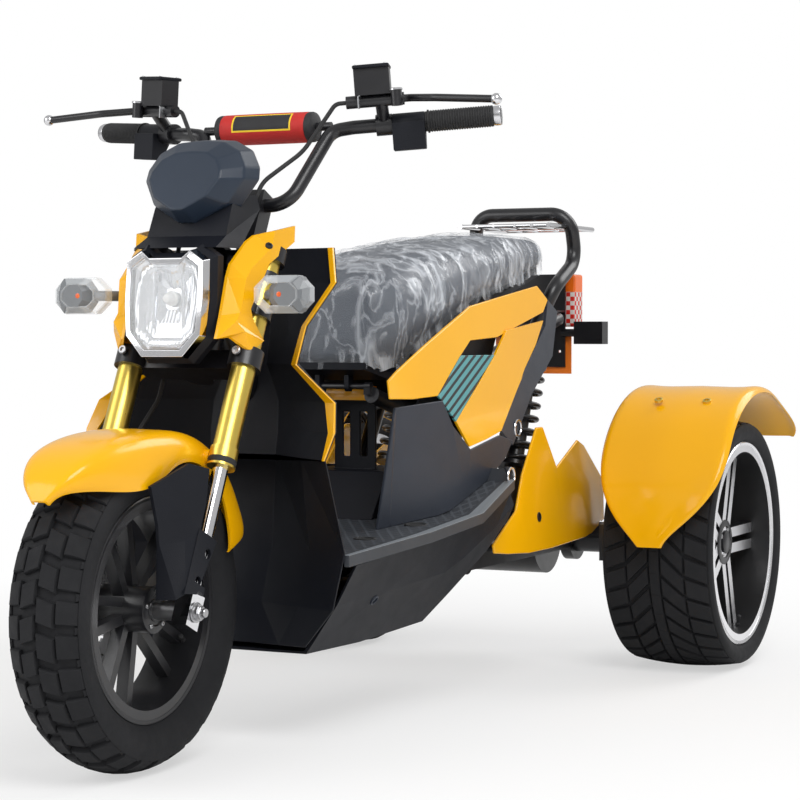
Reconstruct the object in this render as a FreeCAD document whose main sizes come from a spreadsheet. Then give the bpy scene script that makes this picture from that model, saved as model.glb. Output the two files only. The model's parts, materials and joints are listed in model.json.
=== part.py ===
import FreeCAD, Part
import math
import os
import Sketcher

V = FreeCAD.Vector
TRUE_X = V(1, 0, 0)
TRUE_Y = V(0, 1, 0)
TRUE_Z = V(0, 0, 1)

# A delta trike scooter: one steered wheel in front, two driven wheels behind.
# +X points forward, +Y to the vehicle's left, +Z up. The floor is z = 0 and
# the origin lies below the middle of the vehicle's length and width.
# "behind" sizes run back from the front axle, "height" sizes up from the floor,
# "side" sizes out from the centre plane.

SHEET = [
    # Whole vehicle
    ("wheelbase", 1410),
    ("rear_reach", 246),
    ("panel_wall", 4),
    ("fit_gap", 0.3),
    ("running_gap", 0.05),
    ("overrun", 2),
    # Front wheel
    ("front_tyre_radius", 240),
    ("front_tyre_half_width", 60),
    ("front_tread_half_width", 56),
    ("front_shoulder_drop", 20),
    ("front_rim_radius", 166),
    ("front_rim_half_width", 42),
    ("front_seat_radius", 152),
    ("front_rim_wall", 6),
    ("front_hub_radius", 34),
    ("front_hub_half_length", 44),
    ("front_spoke_width", 14),
    ("front_spoke_depth", 20),
    ("front_spoke_splay", 15),
    ("front_spoke_pairs", 5),
    ("front_axle_radius", 7.5),
    ("front_axle_half_length", 126),
    ("front_disc_radius", 104),
    ("front_disc_inner", 70),
    ("front_disc_thickness", 4),
    ("front_disc_side", 62),
    ("front_disc_arm", 8),
    # Rear wheels
    ("rear_tyre_radius", 240),
    ("rear_tyre_half_width", 107.5),
    ("rear_tread_half_width", 98),
    ("rear_shoulder_drop", 9),
    ("rear_rim_radius", 195),
    ("rear_rim_half_width", 98),
    ("rear_seat_radius", 181),
    ("rear_rim_wall", 6),
    ("rear_hub_radius", 42),
    ("rear_hub_half_length", 60),
    ("rear_spoke_width", 19),
    ("rear_spoke_depth", 26),
    ("rear_spoke_splay", 8),
    ("rear_spoke_pairs", 5),
    ("rear_wheel_side", 395.5),
    ("rear_axle_radius", 12.5),
    ("rear_disc_radius", 95),
    ("rear_disc_thickness", 4),
    ("rear_disc_side", 262),
    # Fork and steering
    ("rake", 25.2),
    ("fork_offset", 38),
    ("fork_spread", 100),
    ("fork_upper_radius", 19),
    ("fork_collar_radius", 21.5),
    ("fork_collar_length", 30),
    ("fork_lower_radius", 12),
    ("fork_lower_start", 28),
    ("fork_upper_start", 225),
    ("lug_length", 52),
    ("lug_depth", 34),
    ("lug_width", 26),
    ("spacer_radius", 14),
    ("nut_radius", 12),
    ("nut_thickness", 9),
    ("lower_clamp_start", 385),
    ("clamp_thickness", 30),
    ("clamp_ring_radius", 26),
    ("clamp_bridge_depth", 44),
    ("upper_clamp_start", 562),
    ("upper_clamp_thickness", 24),
    ("stem_radius", 14),
    ("stem_boss_radius", 25),
    ("head_tube_radius", 26),
    ("shroud_reach", 141),
    ("shroud_height", 200),
    ("shroud_inner_side", 82),
    ("shroud_hole_radius", 8),
    ("shroud_wall", 5),
    # Handlebar
    ("bar_radius", 11),
    ("bar_bend", 40),
    ("bar_clamp_along", 689),
    ("bar_clamp_back", 46),
    ("riser_side", 32),
    ("riser_width", 26),
    ("riser_depth", 34),
    ("riser_cap", 20),
    ("bar_straight_side", 84),
    ("bar_knee_behind", 420),
    ("bar_knee_side", 116),
    ("bar_knee_drop", 22),
    ("bar_shoulder_behind", 426),
    ("bar_shoulder_side", 152),
    ("bar_shoulder_drop", 17),
    ("bar_end_behind", 507),
    ("bar_end_side", 360),
    ("bar_end_height", 987),
    ("crossbar_radius", 7),
    ("crossbar_rise", 8),
    ("pad_radius", 25),
    ("pad_half_length", 90),
    ("grip_radius", 16),
    ("grip_length", 108),
    ("bar_end_radius", 15),
    ("bar_end_length", 13),
    ("switch_radius", 16.5),
    ("switch_length", 52),
    ("switch_depth", 40),
    ("switch_drop", 44),
    ("perch_radius", 17),
    ("perch_length", 26),
    ("lever_ahead", 118),
    ("lever_rise", 14),
    ("lever_out", 10),
    ("lever_radius", 6),
    ("lever_bend", 30),
    ("lever_ball_radius", 8),
    ("master_ahead", 34),
    ("master_rise", 36),
    ("master_radius", 10),
    ("master_length", 92),
    ("reservoir_length", 56),
    ("reservoir_depth", 34),
    ("reservoir_height", 42),
    ("hose_radius", 3.5),
    ("hose_bend", 60),
    ("hose_side", 55),
    ("hose_low_side", 70),
    ("hose_back", 34),
    ("hose_knee_behind", 362),
    ("hose_knee_side", 96),
    ("hose_knee_drop", 58),
    ("hose_neck_behind", 300),
    ("hose_neck_side", 58),
    ("hose_neck_drop", 108),
    ("hose_waist_behind", 247),
    ("hose_waist_height", 814),
    ("hose_low_behind", 223),
    ("hose_low_height", 745),
    ("mirror_hole_radius", 4),
    ("mirror_boss_radius", 9),
    ("mirror_boss_height", 24),
    ("plate_hole_radius", 3),
    ("plate_hole_side", 60),
    # Headlamp and mask
    ("lamp_front_behind", 94),
    ("lamp_low_height", 607),
    ("lamp_top_height", 766),
    ("lamp_half_width", 68),
    ("lamp_depth", 20),
    ("lamp_lean", 12),
    ("cowl_depth", 50),
    ("mask_front_behind", 152),
    ("mask_depth", 92),
    ("mask_half_width", 93),
    ("mask_low_height", 806),
    ("mask_top_height", 942),
    ("mask_lean", 44),
    ("neck_wall", 4),
    ("neck_low_height", 771),
    ("neck_height", 84),
    ("neck_front_behind", 124),
    ("neck_length", 153),
    ("neck_half_width", 84),
    ("wing_wall", 5),
    ("wing_front_behind", 104),
    ("wing_length", 200),
    ("wing_low_height", 611),
    ("wing_height", 200),
    ("wing_side", 84),
    ("wing_spread", 42),
    ("signal_behind", 156),
    ("signal_height", 700),
    ("signal_side", 156),
    ("signal_length", 66),
    ("signal_face_height", 54),
    ("signal_depth", 44),
    ("signal_stalk_radius", 8),
    # Front fender
    ("fender_wall", 4),
    ("fender_half_width", 74),
    ("fender_crown", 262),
    # Leg shield
    ("shield_top_height", 777),
    ("shield_top_behind", 362),
    ("shield_low_height", 450),
    ("shield_low_behind", 211),
    ("shield_half_width", 225),
    ("shield_centre_gap", 74),
    ("shield_wall", 4),
    ("cover_depth", 58),
    ("cover_step", 12),
    ("trim_width", 17),
    ("trim_wall", 6),
    ("apron_low_height", 158),
    # Floor
    ("floor_front_behind", 228),
    ("floor_rear_behind", 890),
    ("floor_half_width", 240),
    ("floor_front_height", 304),
    ("floor_rise", 100),
    ("floor_wall", 10),
    ("edge_width", 9),
    ("edge_height", 18),
    ("belly_low_height", 146),
    ("hump_front_behind", 605),
    ("hump_length", 255),
    ("hump_half_width", 84),
    ("hump_top_height", 405),
    ("guard_behind", 734),
    ("guard_half_width", 40),
    ("guard_height", 124),
    ("guard_thickness", 6),
    ("guard_slot_width", 13),
    ("guard_slot_length", 78),
    ("guard_cap_height", 13),
    ("guard_cap_depth", 26),
    ("battery_length", 240),
    ("battery_width", 160),
    ("battery_height", 120),
    ("battery_behind", 545),
    ("battery_base", 178),
    # Side bodywork
    ("side_wall", 5),
    ("body_front_behind", 516),
    ("body_length", 790),
    ("body_inner_side", 140),
    ("body_flare", 60),
    ("body_low_height", 338),
    ("body_height", 396),
    # Seat
    ("seat_front_behind", 632),
    ("seat_length", 722),
    ("seat_half_width", 142),
    ("seat_low_height", 566),
    ("seat_rise", 262),
    ("seat_pan_thickness", 12),
    ("seat_hinge_behind", 652),
    ("seat_hinge_drop", 14),
    ("hinge_pin_radius", 5),
    ("hinge_half_length", 40),
    ("tub_front_behind", 765),
    ("tub_rear_gap", 50),
    ("tub_half_width", 118),
    ("tub_drop", 38),
    ("tub_wall", 4),
    # Frame
    ("frame_radius", 14),
    ("frame_bend", 50),
    ("spine_radius", 19),
    ("rail_side", 112),
    ("rail_height", 240),
    ("rail_front_behind", 400),
    ("rail_rear_behind", 872),
    ("spine_knee_behind", 395),
    ("spine_knee_height", 500),
    ("spine_top_along", 515),
    ("kick_behind", 1010),
    ("kick_height", 566),
    ("kick_side", 72),
    ("tail_behind", 1500),
    ("tail_height", 672),
    # Rear axle and suspension
    ("housing_radius", 30),
    ("housing_half_length", 250),
    ("motor_radius", 76),
    ("motor_half_width", 88),
    ("arm_side", 142),
    ("arm_width", 22),
    ("arm_height", 40),
    ("arm_eye_radius", 26),
    ("arm_axle_eye_radius", 46),
    ("shock_low_behind", 1112),
    ("shock_low_height", 298),
    ("shock_top_behind", 1226),
    ("shock_top_drop", 9),
    ("shock_side", 125),
    ("shock_pin_radius", 6),
    ("shock_collar", 7),
    ("shock_turns", 7),
    ("shock_body_radius", 17),
    ("shock_spring_radius", 31),
    ("shock_wire_radius", 4.5),
    ("shock_eye_radius", 14),
    ("shock_eye_width", 26),
    # Rear covers and fenders
    ("cover_side", 196),
    ("cover_bulge", 20),
    ("cover_front_behind", 880),
    ("cover_length", 558),
    ("cover_base_height", 243),
    ("cover_height", 226),
    ("cover_boss_radius", 8),
    ("caliper_width", 42),
    ("caliper_length", 50),
    ("caliper_height", 70),
    ("strut_radius", 7),
    ("strut_bend", 25),
    ("rear_fender_radius", 300),
    ("rear_fender_wall", 4),
    ("rear_fender_inner_side", 282),
    ("rear_fender_outer_side", 530),
    ("rear_fender_lip", 15),
    # Tail
    ("hoop_radius", 14),
    ("hoop_side", 106),
    ("hoop_foot_behind", 1380),
    ("hoop_waist_behind", 1400),
    ("hoop_waist_height", 735),
    ("hoop_back_height", 790),
    ("hoop_back_behind", 1512),
    ("hoop_top_behind", 1482),
    ("hoop_top_height", 884),
    ("hoop_bend", 42),
    ("rack_rod_radius", 5),
    ("rack_cross_radius", 4.2),
    ("rack_inner_radius", 3.4),
    ("rack_drop", 26),
    ("rack_half_width", 96),
    ("rack_front_behind", 1395),
    ("rack_length", 232),
    ("tail_lamp_behind", 1545),
    ("tail_lamp_depth", 46),
    ("tail_lamp_half_width", 92),
    ("tail_lamp_height", 108),
    ("tail_lamp_base", 656),
    ("plate_half_width", 84),
    ("plate_height", 92),
    ("plate_thickness", 3),
    ("plate_base", 560),
    ("plate_behind", 1556),
    ("rear_signal_height", 644),
    ("rear_signal_side", 100),
    ("rear_signal_length", 62),
]

doc = FreeCAD.newDocument("DeltaTrike")
sheet = doc.addObject("Spreadsheet::Sheet", "Sizes")
for row, (alias, number) in enumerate(SHEET, start=1):
    sheet.set("A%d" % row, alias)
    sheet.set("B%d" % row, str(number))
    sheet.setAlias("B%d" % row, alias)
doc.recompute()


class Size:
    """A number together with the sheet formula that gives it."""

    def __init__(self, value, formula):
        self.value = float(value)
        self.formula = formula

    def _join(self, other, sign, value, swap=False):
        text = other.formula if isinstance(other, Size) else repr(other)
        first, second = (text, self.formula) if swap else (self.formula, text)
        return Size(value, "(%s %s %s)" % (first, sign, second))

    def __float__(self):
        return self.value

    def __add__(self, other):
        return self._join(other, "+", self.value + float(other))

    def __radd__(self, other):
        return self._join(other, "+", float(other) + self.value, swap=True)

    def __sub__(self, other):
        return self._join(other, "-", self.value - float(other))

    def __rsub__(self, other):
        return self._join(other, "-", float(other) - self.value, swap=True)

    def __mul__(self, other):
        return self._join(other, "*", self.value * float(other))

    def __rmul__(self, other):
        return self._join(other, "*", float(other) * self.value, swap=True)

    def __truediv__(self, other):
        return self._join(other, "/", self.value / float(other))

    def __neg__(self):
        return Size(-self.value, "(-%s)" % self.formula)


class Sizes:
    """Reads a size from the sheet by its alias."""

    def __getattr__(self, alias):
        return Size(float(sheet.get(alias)), "Sizes." + alias)


S = Sizes()


def sine(angle):
    return Size(math.sin(math.radians(float(angle))), "sin(%s)" % angle.formula)


def cosine(angle):
    return Size(math.cos(math.radians(float(angle))), "cos(%s)" % angle.formula)


def bind(thing, name, size):
    if isinstance(size, Size):
        thing.setExpression(name, size.formula)
    else:
        setattr(thing, name, size)


# Places
FRONT_AXLE_X = (S.wheelbase + S.rear_reach - S.front_tyre_radius) / 2
REAR_AXLE_X = FRONT_AXLE_X - S.wheelbase
FRONT_AXLE_Z = S.front_tyre_radius
REAR_AXLE_Z = S.rear_tyre_radius
SIN_RAKE = sine(S.rake)
COS_RAKE = cosine(S.rake)


def behind(size):
    """The x of a place that lies this far behind the front axle."""
    return FRONT_AXLE_X - size


class Frame:
    """A place to build in: level, or leaning back with the fork."""

    def __init__(self, x, z, leans):
        self.x, self.z, self.leans = x, z, leans

    def point(self, x, y, z):
        if not self.leans:
            return (self.x + x, y, self.z + z)
        return (self.x + x * COS_RAKE - z * SIN_RAKE, y, self.z + z * COS_RAKE + x * SIN_RAKE)

    def vector(self, x, y, z):
        return V(*[float(part) for part in self.point(x, y, z)])


ZERO = S.fit_gap - S.fit_gap
LEVEL = Frame(ZERO, ZERO, False)
FORK = Frame(FRONT_AXLE_X, FRONT_AXLE_Z, True)
FRONT_WHEEL = Frame(FRONT_AXLE_X, FRONT_AXLE_Z, False)
REAR_WHEEL = Frame(REAR_AXLE_X, REAR_AXLE_Z, False)


def place(thing, frame, at, axis=None, angle=None):
    """Puts a thing at a point of a frame, turned about one axis by a bound angle."""
    spot = frame.point(*at)
    if axis is None and frame.leans:
        axis, angle = TRUE_Y, -S.rake
    if axis is not None:
        thing.Placement = FreeCAD.Placement(V(), FreeCAD.Rotation(axis, float(angle)))
    if isinstance(angle, Size):
        thing.setExpression(".Placement.Rotation.Angle", angle.formula)
    for name, part in zip("xyz", spot):
        if isinstance(part, Size):
            thing.setExpression(".Placement.Base." + name, part.formula)
    return thing


COUNT = {"pieces": 0}


def helper(kind):
    """An unnamed working object, which a node is made from."""
    COUNT["pieces"] += 1
    return doc.addObject(kind, "Work%03d" % COUNT["pieces"])


def box(frame, centre, length, width, height):
    piece = helper("Part::Box")
    bind(piece, "Length", length)
    bind(piece, "Width", width)
    bind(piece, "Height", height)
    x, y, z = centre
    return place(piece, frame, (x - length / 2, y - width / 2, z - height / 2))


def rod(frame, centre, radius, length, along):
    """A round bar, centred, along x, y or z of its frame."""
    piece = helper("Part::Cylinder")
    bind(piece, "Radius", radius)
    bind(piece, "Height", length)
    x, y, z = centre
    if along == "y":
        return place(piece, frame, (x, y - length / 2, z), TRUE_X, -90)
    if along == "x":
        turn = 90 - S.rake if frame.leans else 90
        return place(piece, frame, (x - length / 2, y, z), TRUE_Y, turn)
    return place(piece, frame, (x, y, z - length / 2))


def joined(*pieces):
    piece = helper("Part::MultiFuse")
    piece.Shapes = list(pieces)
    return piece


def less(base, *tools):
    piece = helper("Part::Cut")
    piece.Base = base
    piece.Tool = tools[0] if len(tools) == 1 else joined(*tools)
    return piece


def mirrored(source):
    piece = helper("Part::Mirroring")
    piece.Source = source
    piece.Normal = TRUE_Y
    return piece


def pair(source):
    """A left piece and its right twin, as solids that don't touch."""
    return together(source, mirrored(source))


def together(*pieces):
    piece = helper("Part::Compound")
    piece.Links = list(pieces)
    return piece


NODES = []


def node(name, piece):
    piece.Label = name
    NODES.append(piece)
    return piece


# Sketched bodies
def origin_part(body, role):
    return [part for part in body.Origin.OriginFeatures if part.Role == role][0]


def arc_middle(start, end, radius):
    """The middle of the short arc that bulges to the right of start to end."""
    half = (end - start) * 0.5
    length = half.Length
    inward = V(-half.y, half.x, 0)
    inward.normalize()
    rise = radius - math.sqrt(max(radius * radius - length * length, 0))
    return start + half - inward * rise


def draw(sketch, corners):
    """A closed outline. A corner (x, y, radius) ends in an arc to the next one."""
    spots = [V(float(corner[0]), float(corner[1]), 0) for corner in corners]
    edges = []
    total = len(corners)
    for index, corner in enumerate(corners):
        start, end = spots[index], spots[(index + 1) % total]
        if len(corner) == 3:
            middle = arc_middle(start, end, float(corner[2]))
            edges.append(sketch.addGeometry(Part.ArcOfCircle(start, middle, end), False))
        else:
            edges.append(sketch.addGeometry(Part.LineSegment(start, end), False))

    def end_of(edge, spot):
        near = (sketch.getPoint(edge, 1) - spot).Length < (sketch.getPoint(edge, 2) - spot).Length
        return 1 if near else 2

    for index, corner in enumerate(corners):
        edge, before = edges[index], edges[index - 1]
        spot = spots[index]
        here = end_of(edge, spot)
        sketch.addConstraint(
            Sketcher.Constraint("Coincident", edge, here, before, end_of(before, spot)))
        for kind, axis, size in (("DistanceX", -2, corner[0]), ("DistanceY", -1, corner[1])):
            if isinstance(size, Size):
                made = sketch.addConstraint(
                    Sketcher.Constraint(kind, -1, 1, edge, here, float(size)))
                sketch.setExpression("Constraints[%d]" % made, size.formula)
            else:
                sketch.addConstraint(Sketcher.Constraint("PointOnObject", edge, here, axis))
        if len(corner) == 3:
            made = sketch.addConstraint(Sketcher.Constraint("Radius", edge, float(corner[2])))
            sketch.setExpression("Constraints[%d]" % made, corner[2].formula)


def new_body():
    return helper("PartDesign::Body")


def sketch_in(body, plane, corners):
    COUNT["pieces"] += 1
    sketch = body.newObject("Sketcher::SketchObject", "Outline%03d" % COUNT["pieces"])
    sketch.AttachmentSupport = (origin_part(body, plane), [""])
    sketch.MapMode = "FlatFace"
    draw(sketch, corners)
    return sketch


def add_turned(body, corners, axis="V_Axis"):
    """Adds a ring: corners are (radius, along the axle)."""
    sketch = sketch_in(body, "XY_Plane", corners)
    COUNT["pieces"] += 1
    ring = body.newObject("PartDesign::Revolution", "Turned%03d" % COUNT["pieces"])
    ring.Profile = sketch
    ring.ReferenceAxis = (sketch, [axis])
    ring.Angle = 360
    return ring


def turned(frame, at, corners):
    """A turned piece about the cross axis of its frame."""
    body = new_body()
    add_turned(body, corners)
    return place(body, frame, at)


def add_slab(body, plane, corners, thickness, shift=None):
    """Adds a plate, thick to both sides of the plane, or of the plane shifted along its normal."""
    sketch = sketch_in(body, plane, corners)
    if shift is not None:
        sketch.setExpression(".AttachmentOffset.Base.z", shift.formula)
    COUNT["pieces"] += 1
    slab = body.newObject("PartDesign::Pad", "Slab%03d" % COUNT["pieces"])
    slab.Profile = sketch
    slab.SideType = "Symmetric"
    bind(slab, "Length", thickness)
    return slab


def slab(plane, corners, thickness, frame=None, at=None):
    body = new_body()
    add_slab(body, plane, corners, thickness)
    if frame is not None:
        place(body, frame, at)
    return body


# Creased shells and bent tubes
def facet(points):
    """Faces over three or four corners: one face if they lie in a plane, else two."""
    kept = [p for i, p in enumerate(points) if (p - points[i - 1]).Length > float(S.fit_gap) / 100]
    if len(kept) < 3:
        return []
    if len(kept) == 4:
        normal = (kept[1] - kept[0]).cross(kept[2] - kept[0])
        if normal.Length and abs(normal.normalize().dot(kept[3] - kept[0])) < 1e-6:
            return [Part.Face(Part.makePolygon(kept + kept[:1]))]
        return facet([kept[0], kept[1], kept[2]]) + facet([kept[0], kept[2], kept[3]])
    return [Part.Face(Part.makePolygon(kept + kept[:1]))]


def shell_solid(outer, inner, closed=False):
    """A solid between two grids of points, row by row. Closed rows join end to end."""
    faces = []
    rows, columns = len(outer), len(outer[0])
    spans = columns if closed else columns - 1
    for r in range(rows - 1):
        for c in range(spans):
            d = (c + 1) % columns
            faces += facet([outer[r][c], outer[r][d], outer[r + 1][d], outer[r + 1][c]])
            faces += facet([inner[r][c], inner[r][d], inner[r + 1][d], inner[r + 1][c]])
    for r in (0, rows - 1):
        for c in range(spans):
            d = (c + 1) % columns
            faces += facet([outer[r][c], outer[r][d], inner[r][d], inner[r][c]])
    if not closed:
        for c in (0, columns - 1):
            for r in range(rows - 1):
                faces += facet([outer[r][c], outer[r + 1][c], inner[r + 1][c], inner[r][c]])
    skin = Part.makeShell(faces)
    skin.sewShape()
    solid = Part.makeSolid(skin)
    if solid.Volume < 0:
        solid.reverse()
    return solid


def block_solid(rings):
    """A closed solid through rings of points, with flat ends."""
    faces = []
    for low, high in zip(rings, rings[1:]):
        for c in range(len(low)):
            d = (c + 1) % len(low)
            faces += facet([low[c], low[d], high[d], high[c]])
    for ring in (rings[0], rings[-1]):
        faces.append(Part.Face(Part.makePolygon(ring + ring[:1])))
    skin = Part.makeShell(faces)
    skin.sewShape()
    solid = Part.makeSolid(skin)
    if solid.Volume < 0:
        solid.reverse()
    return solid


def shifted(grid, step):
    return [[point + step for point in row] for row in grid]


def vector(point):
    return V(*[float(part) for part in point])


def shaped(shape):
    piece = helper("Part::Feature")
    piece.Shape = shape
    return piece


def bent_path(points, bend):
    """Straight runs joined by tangent arcs of one radius, or smaller where a run is short."""
    edges = []
    last = points[0]
    for before, corner, after in zip(points, points[1:], points[2:]):
        back, ahead = before - corner, after - corner
        turn = math.pi - back.getAngle(ahead)
        reach = min(bend * math.tan(turn / 2), 0.45 * min(back.Length, ahead.Length))
        back.normalize()
        ahead.normalize()
        start, end = corner + back * reach, corner + ahead * reach
        radius = reach / math.tan(turn / 2)
        inward = (back + ahead).normalize()
        centre = corner + inward * (radius / math.cos(turn / 2))
        edges.append(Part.LineSegment(last, start).toShape())
        edges.append(Part.Arc(start, centre - inward * radius, end).toShape())
        last = end
    edges.append(Part.LineSegment(last, points[-1]).toShape())
    return Part.Wire(edges)


def tube_shape(points, radius, bend):
    path = bent_path(points, bend)
    start = (points[1] - points[0]).normalize()
    ring = Part.Wire(Part.makeCircle(radius, points[0], start))
    return path.makePipeShell([ring], True, False)


def tube(points, radius, bend):
    return shaped(tube_shape([vector(point) for point in points], float(radius), float(bend)))


# Wheels
def tyre(radius, half_width, tread_half_width, shoulder_drop, seat_radius, rim_radius, bead):
    shoulder = radius - shoulder_drop
    crown = (tread_half_width * tread_half_width + shoulder_drop * shoulder_drop) / (shoulder_drop * 2)
    waist = (rim_radius + shoulder) / 2
    return [
        (seat_radius, -bead),
        (rim_radius, -bead),
        (waist, -half_width),
        (shoulder, -tread_half_width, crown),
        (shoulder, tread_half_width),
        (waist, half_width),
        (rim_radius, bead),
        (seat_radius, bead),
    ]


def wheel_rim(hub, ring, spoke, depth, shift, pairs):
    """A cast wheel: a hub, pairs of splayed spokes, then the ring."""
    body = new_body()
    add_turned(body, hub)
    arms = []
    for outline in spoke:
        arms.append(add_slab(body, "XZ_Plane", outline, depth, shift))
    doc.recompute()
    COUNT["pieces"] += 1
    fan = body.newObject("PartDesign::PolarPattern", "Fan%03d" % COUNT["pieces"])
    fan.Originals = arms
    fan.Axis = (origin_part(body, "Y_Axis"), [""])
    fan.Angle = 360
    fan.setExpression("Occurrences", pairs.formula)
    body.Tip = fan
    doc.recompute()
    add_turned(body, ring)
    return body


def splayed_spokes(width, splay, start, end, way=1):
    """The two arms of a pair: each a bar that leaves the hub and runs out at a slant.

    way is 1 where the first pair points forward and -1 where it points back.
    """
    outlines = []
    for side in (1, -1):
        root_z = width * 0.8
        tip_z = splay * 2
        low = [(start, root_z - width / 2), (end, tip_z - width / 2)]
        high = [(end, tip_z + width / 2), (start, root_z + width / 2)]
        corners = [(x * way, z * side) for x, z in low + high]
        if side * way < 0:
            corners = list(reversed(corners))
        outlines.append(corners)
    return outlines


def front_wheel():
    bead = S.front_rim_half_width - S.front_rim_wall
    outline = tyre(S.front_tyre_radius, S.front_tyre_half_width, S.front_tread_half_width,
                   S.front_shoulder_drop, S.front_seat_radius, S.front_rim_radius, bead)
    node("front_tyre", turned(FRONT_WHEEL, (0, 0, 0), outline))
    bore = S.front_axle_radius + S.running_gap
    half = S.front_hub_half_length
    hub = [(bore, -half), (S.front_hub_radius, -half), (S.front_hub_radius, half), (bore, half)]
    inside = S.front_seat_radius - S.front_rim_wall
    edge = S.front_rim_half_width
    ring = [
        (inside, -edge), (S.front_rim_radius, -edge), (S.front_rim_radius, -bead),
        (S.front_seat_radius, -bead), (S.front_seat_radius, bead), (S.front_rim_radius, bead),
        (S.front_rim_radius, edge), (inside, edge),
    ]
    arms = splayed_spokes(S.front_spoke_width, S.front_spoke_splay,
                          S.front_hub_radius - S.front_spoke_width, inside)
    rim = wheel_rim(hub, ring, arms, S.front_spoke_depth, ZERO, S.front_spoke_pairs)
    node("front_rim", place(rim, FRONT_WHEEL, (0, 0, 0)))
    disc = turned(FRONT_WHEEL, (0, -S.front_disc_side, 0), [
        (S.front_disc_inner, -S.front_disc_thickness / 2),
        (S.front_disc_radius, -S.front_disc_thickness / 2),
        (S.front_disc_radius, S.front_disc_thickness / 2),
        (S.front_disc_inner, S.front_disc_thickness / 2),
    ])
    carrier_inner = S.front_disc_inner - S.front_disc_arm
    near = S.front_disc_side - half
    carrier = turned(FRONT_WHEEL, (0, -half, 0), [
        (S.front_hub_radius - S.front_disc_arm * 2, -near - S.front_disc_thickness / 2),
        (S.front_disc_inner, -near - S.front_disc_thickness / 2),
        (S.front_disc_inner, -near + S.front_disc_thickness / 2),
        (S.front_hub_radius, -near + S.front_disc_thickness / 2),
        (S.front_hub_radius, 0),
        (S.front_hub_radius - S.front_disc_arm * 2, 0),
    ])
    windows = []
    for step in range(5):
        angle = math.radians(72 * step + 36)
        reach = (S.front_hub_radius + carrier_inner) / 2
        windows.append(rod(FRONT_WHEEL,
                           (reach * math.cos(angle), -S.front_disc_side, reach * math.sin(angle)),
                           S.front_disc_arm * 1.2, S.front_disc_thickness + S.overrun, "y"))
    node("front_brake_disc", less(joined(disc, carrier), *windows))


def rear_wheel(name, side):
    """side is 1 for the left wheel and -1 for the right one."""
    at = (0, S.rear_wheel_side * side, 0)
    bead = S.rear_rim_half_width - S.rear_rim_wall
    outline = tyre(S.rear_tyre_radius, S.rear_tyre_half_width, S.rear_tread_half_width,
                   S.rear_shoulder_drop, S.rear_seat_radius, S.rear_rim_radius, bead)
    node("rear_tyre_" + name, turned(REAR_WHEEL, at, outline))
    bore = S.rear_axle_radius + S.running_gap
    inner_end = S.rear_wheel_side - S.housing_half_length - S.fit_gap * 2
    outer_end = S.rear_hub_half_length
    hub = [(bore, -inner_end), (S.rear_hub_radius, -inner_end),
           (S.rear_hub_radius, outer_end), (0, outer_end), (0, outer_end - S.rear_spoke_depth),
           (bore, outer_end - S.rear_spoke_depth)]
    inside = S.rear_seat_radius - S.rear_rim_wall
    edge = S.rear_rim_half_width
    ring = [
        (inside, -edge), (S.rear_rim_radius, -edge), (S.rear_rim_radius, -bead),
        (S.rear_seat_radius, -bead), (S.rear_seat_radius, bead), (S.rear_rim_radius, bead),
        (S.rear_rim_radius, edge), (inside, edge),
    ]
    if side < 0:
        hub = [(radius, -along) for radius, along in reversed(hub)]
    arms = splayed_spokes(S.rear_spoke_width, S.rear_spoke_splay,
                          S.rear_hub_radius - S.rear_spoke_width, inside, -1)
    shift = (S.rear_hub_half_length - S.rear_spoke_depth / 2) * -side
    rim = wheel_rim(hub, ring, arms, S.rear_spoke_depth, shift, S.rear_spoke_pairs)
    hub_face = S.rear_hub_radius - S.panel_wall
    disc = turned(REAR_WHEEL, (0, S.rear_disc_side * side, 0), [
        (hub_face, -S.rear_disc_thickness / 2),
        (S.rear_disc_radius, -S.rear_disc_thickness / 2),
        (S.rear_disc_radius, S.rear_disc_thickness / 2),
        (hub_face, S.rear_disc_thickness / 2),
    ])
    node("rear_rim_" + name, joined(place(rim, REAR_WHEEL, at), disc))


# Steering
def fork_legs():
    end = S.upper_clamp_start + S.upper_clamp_thickness
    length = end - S.fork_upper_start
    upper = joined(
        rod(FORK, (0, S.fork_spread, S.fork_upper_start + length / 2), S.fork_upper_radius,
            length, "z"),
        rod(FORK, (0, S.fork_spread, S.fork_upper_start + S.fork_collar_length / 2),
            S.fork_collar_radius, S.fork_collar_length, "z"))
    node("fork_upper_tubes", pair(upper))
    lower_length = S.fork_upper_start - S.fork_lower_start
    lower = rod(FORK, (0, S.fork_spread, S.fork_lower_start + lower_length / 2),
                S.fork_lower_radius, lower_length, "z")
    lug = less(
        box(FORK, (0, S.fork_spread, S.fork_lower_start - S.lug_length / 2), S.lug_depth,
            S.lug_width, S.lug_length),
        rod(FORK, (0, S.fork_spread, 0), S.front_axle_radius + S.running_gap,
            S.lug_width + S.overrun, "y"))
    node("fork_inner_tubes", pair(joined(lower, lug)))


def front_axle():
    lug_inner = S.fork_spread - S.lug_width / 2
    spacer = lug_inner - S.front_hub_half_length - S.fit_gap * 2
    spacer_at = lug_inner - spacer / 2
    nut_at = S.fork_spread + S.lug_width / 2 + S.nut_thickness / 2
    bar = rod(FRONT_WHEEL, (0, 0, 0), S.front_axle_radius, S.front_axle_half_length * 2, "y")
    left_spacer = rod(FRONT_WHEEL, (0, spacer_at, 0), S.spacer_radius, spacer, "y")
    nut = rod(FRONT_WHEEL, (0, nut_at, 0), S.nut_radius, S.nut_thickness, "y")
    disc_room = S.front_disc_side + S.front_disc_thickness / 2 + S.fit_gap * 2
    short = lug_inner - disc_room
    right_spacer = rod(FRONT_WHEEL, (0, -(lug_inner - short / 2), 0), S.spacer_radius, short, "y")
    node("front_axle", joined(bar, left_spacer, right_spacer, nut, mirrored(nut)))


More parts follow.
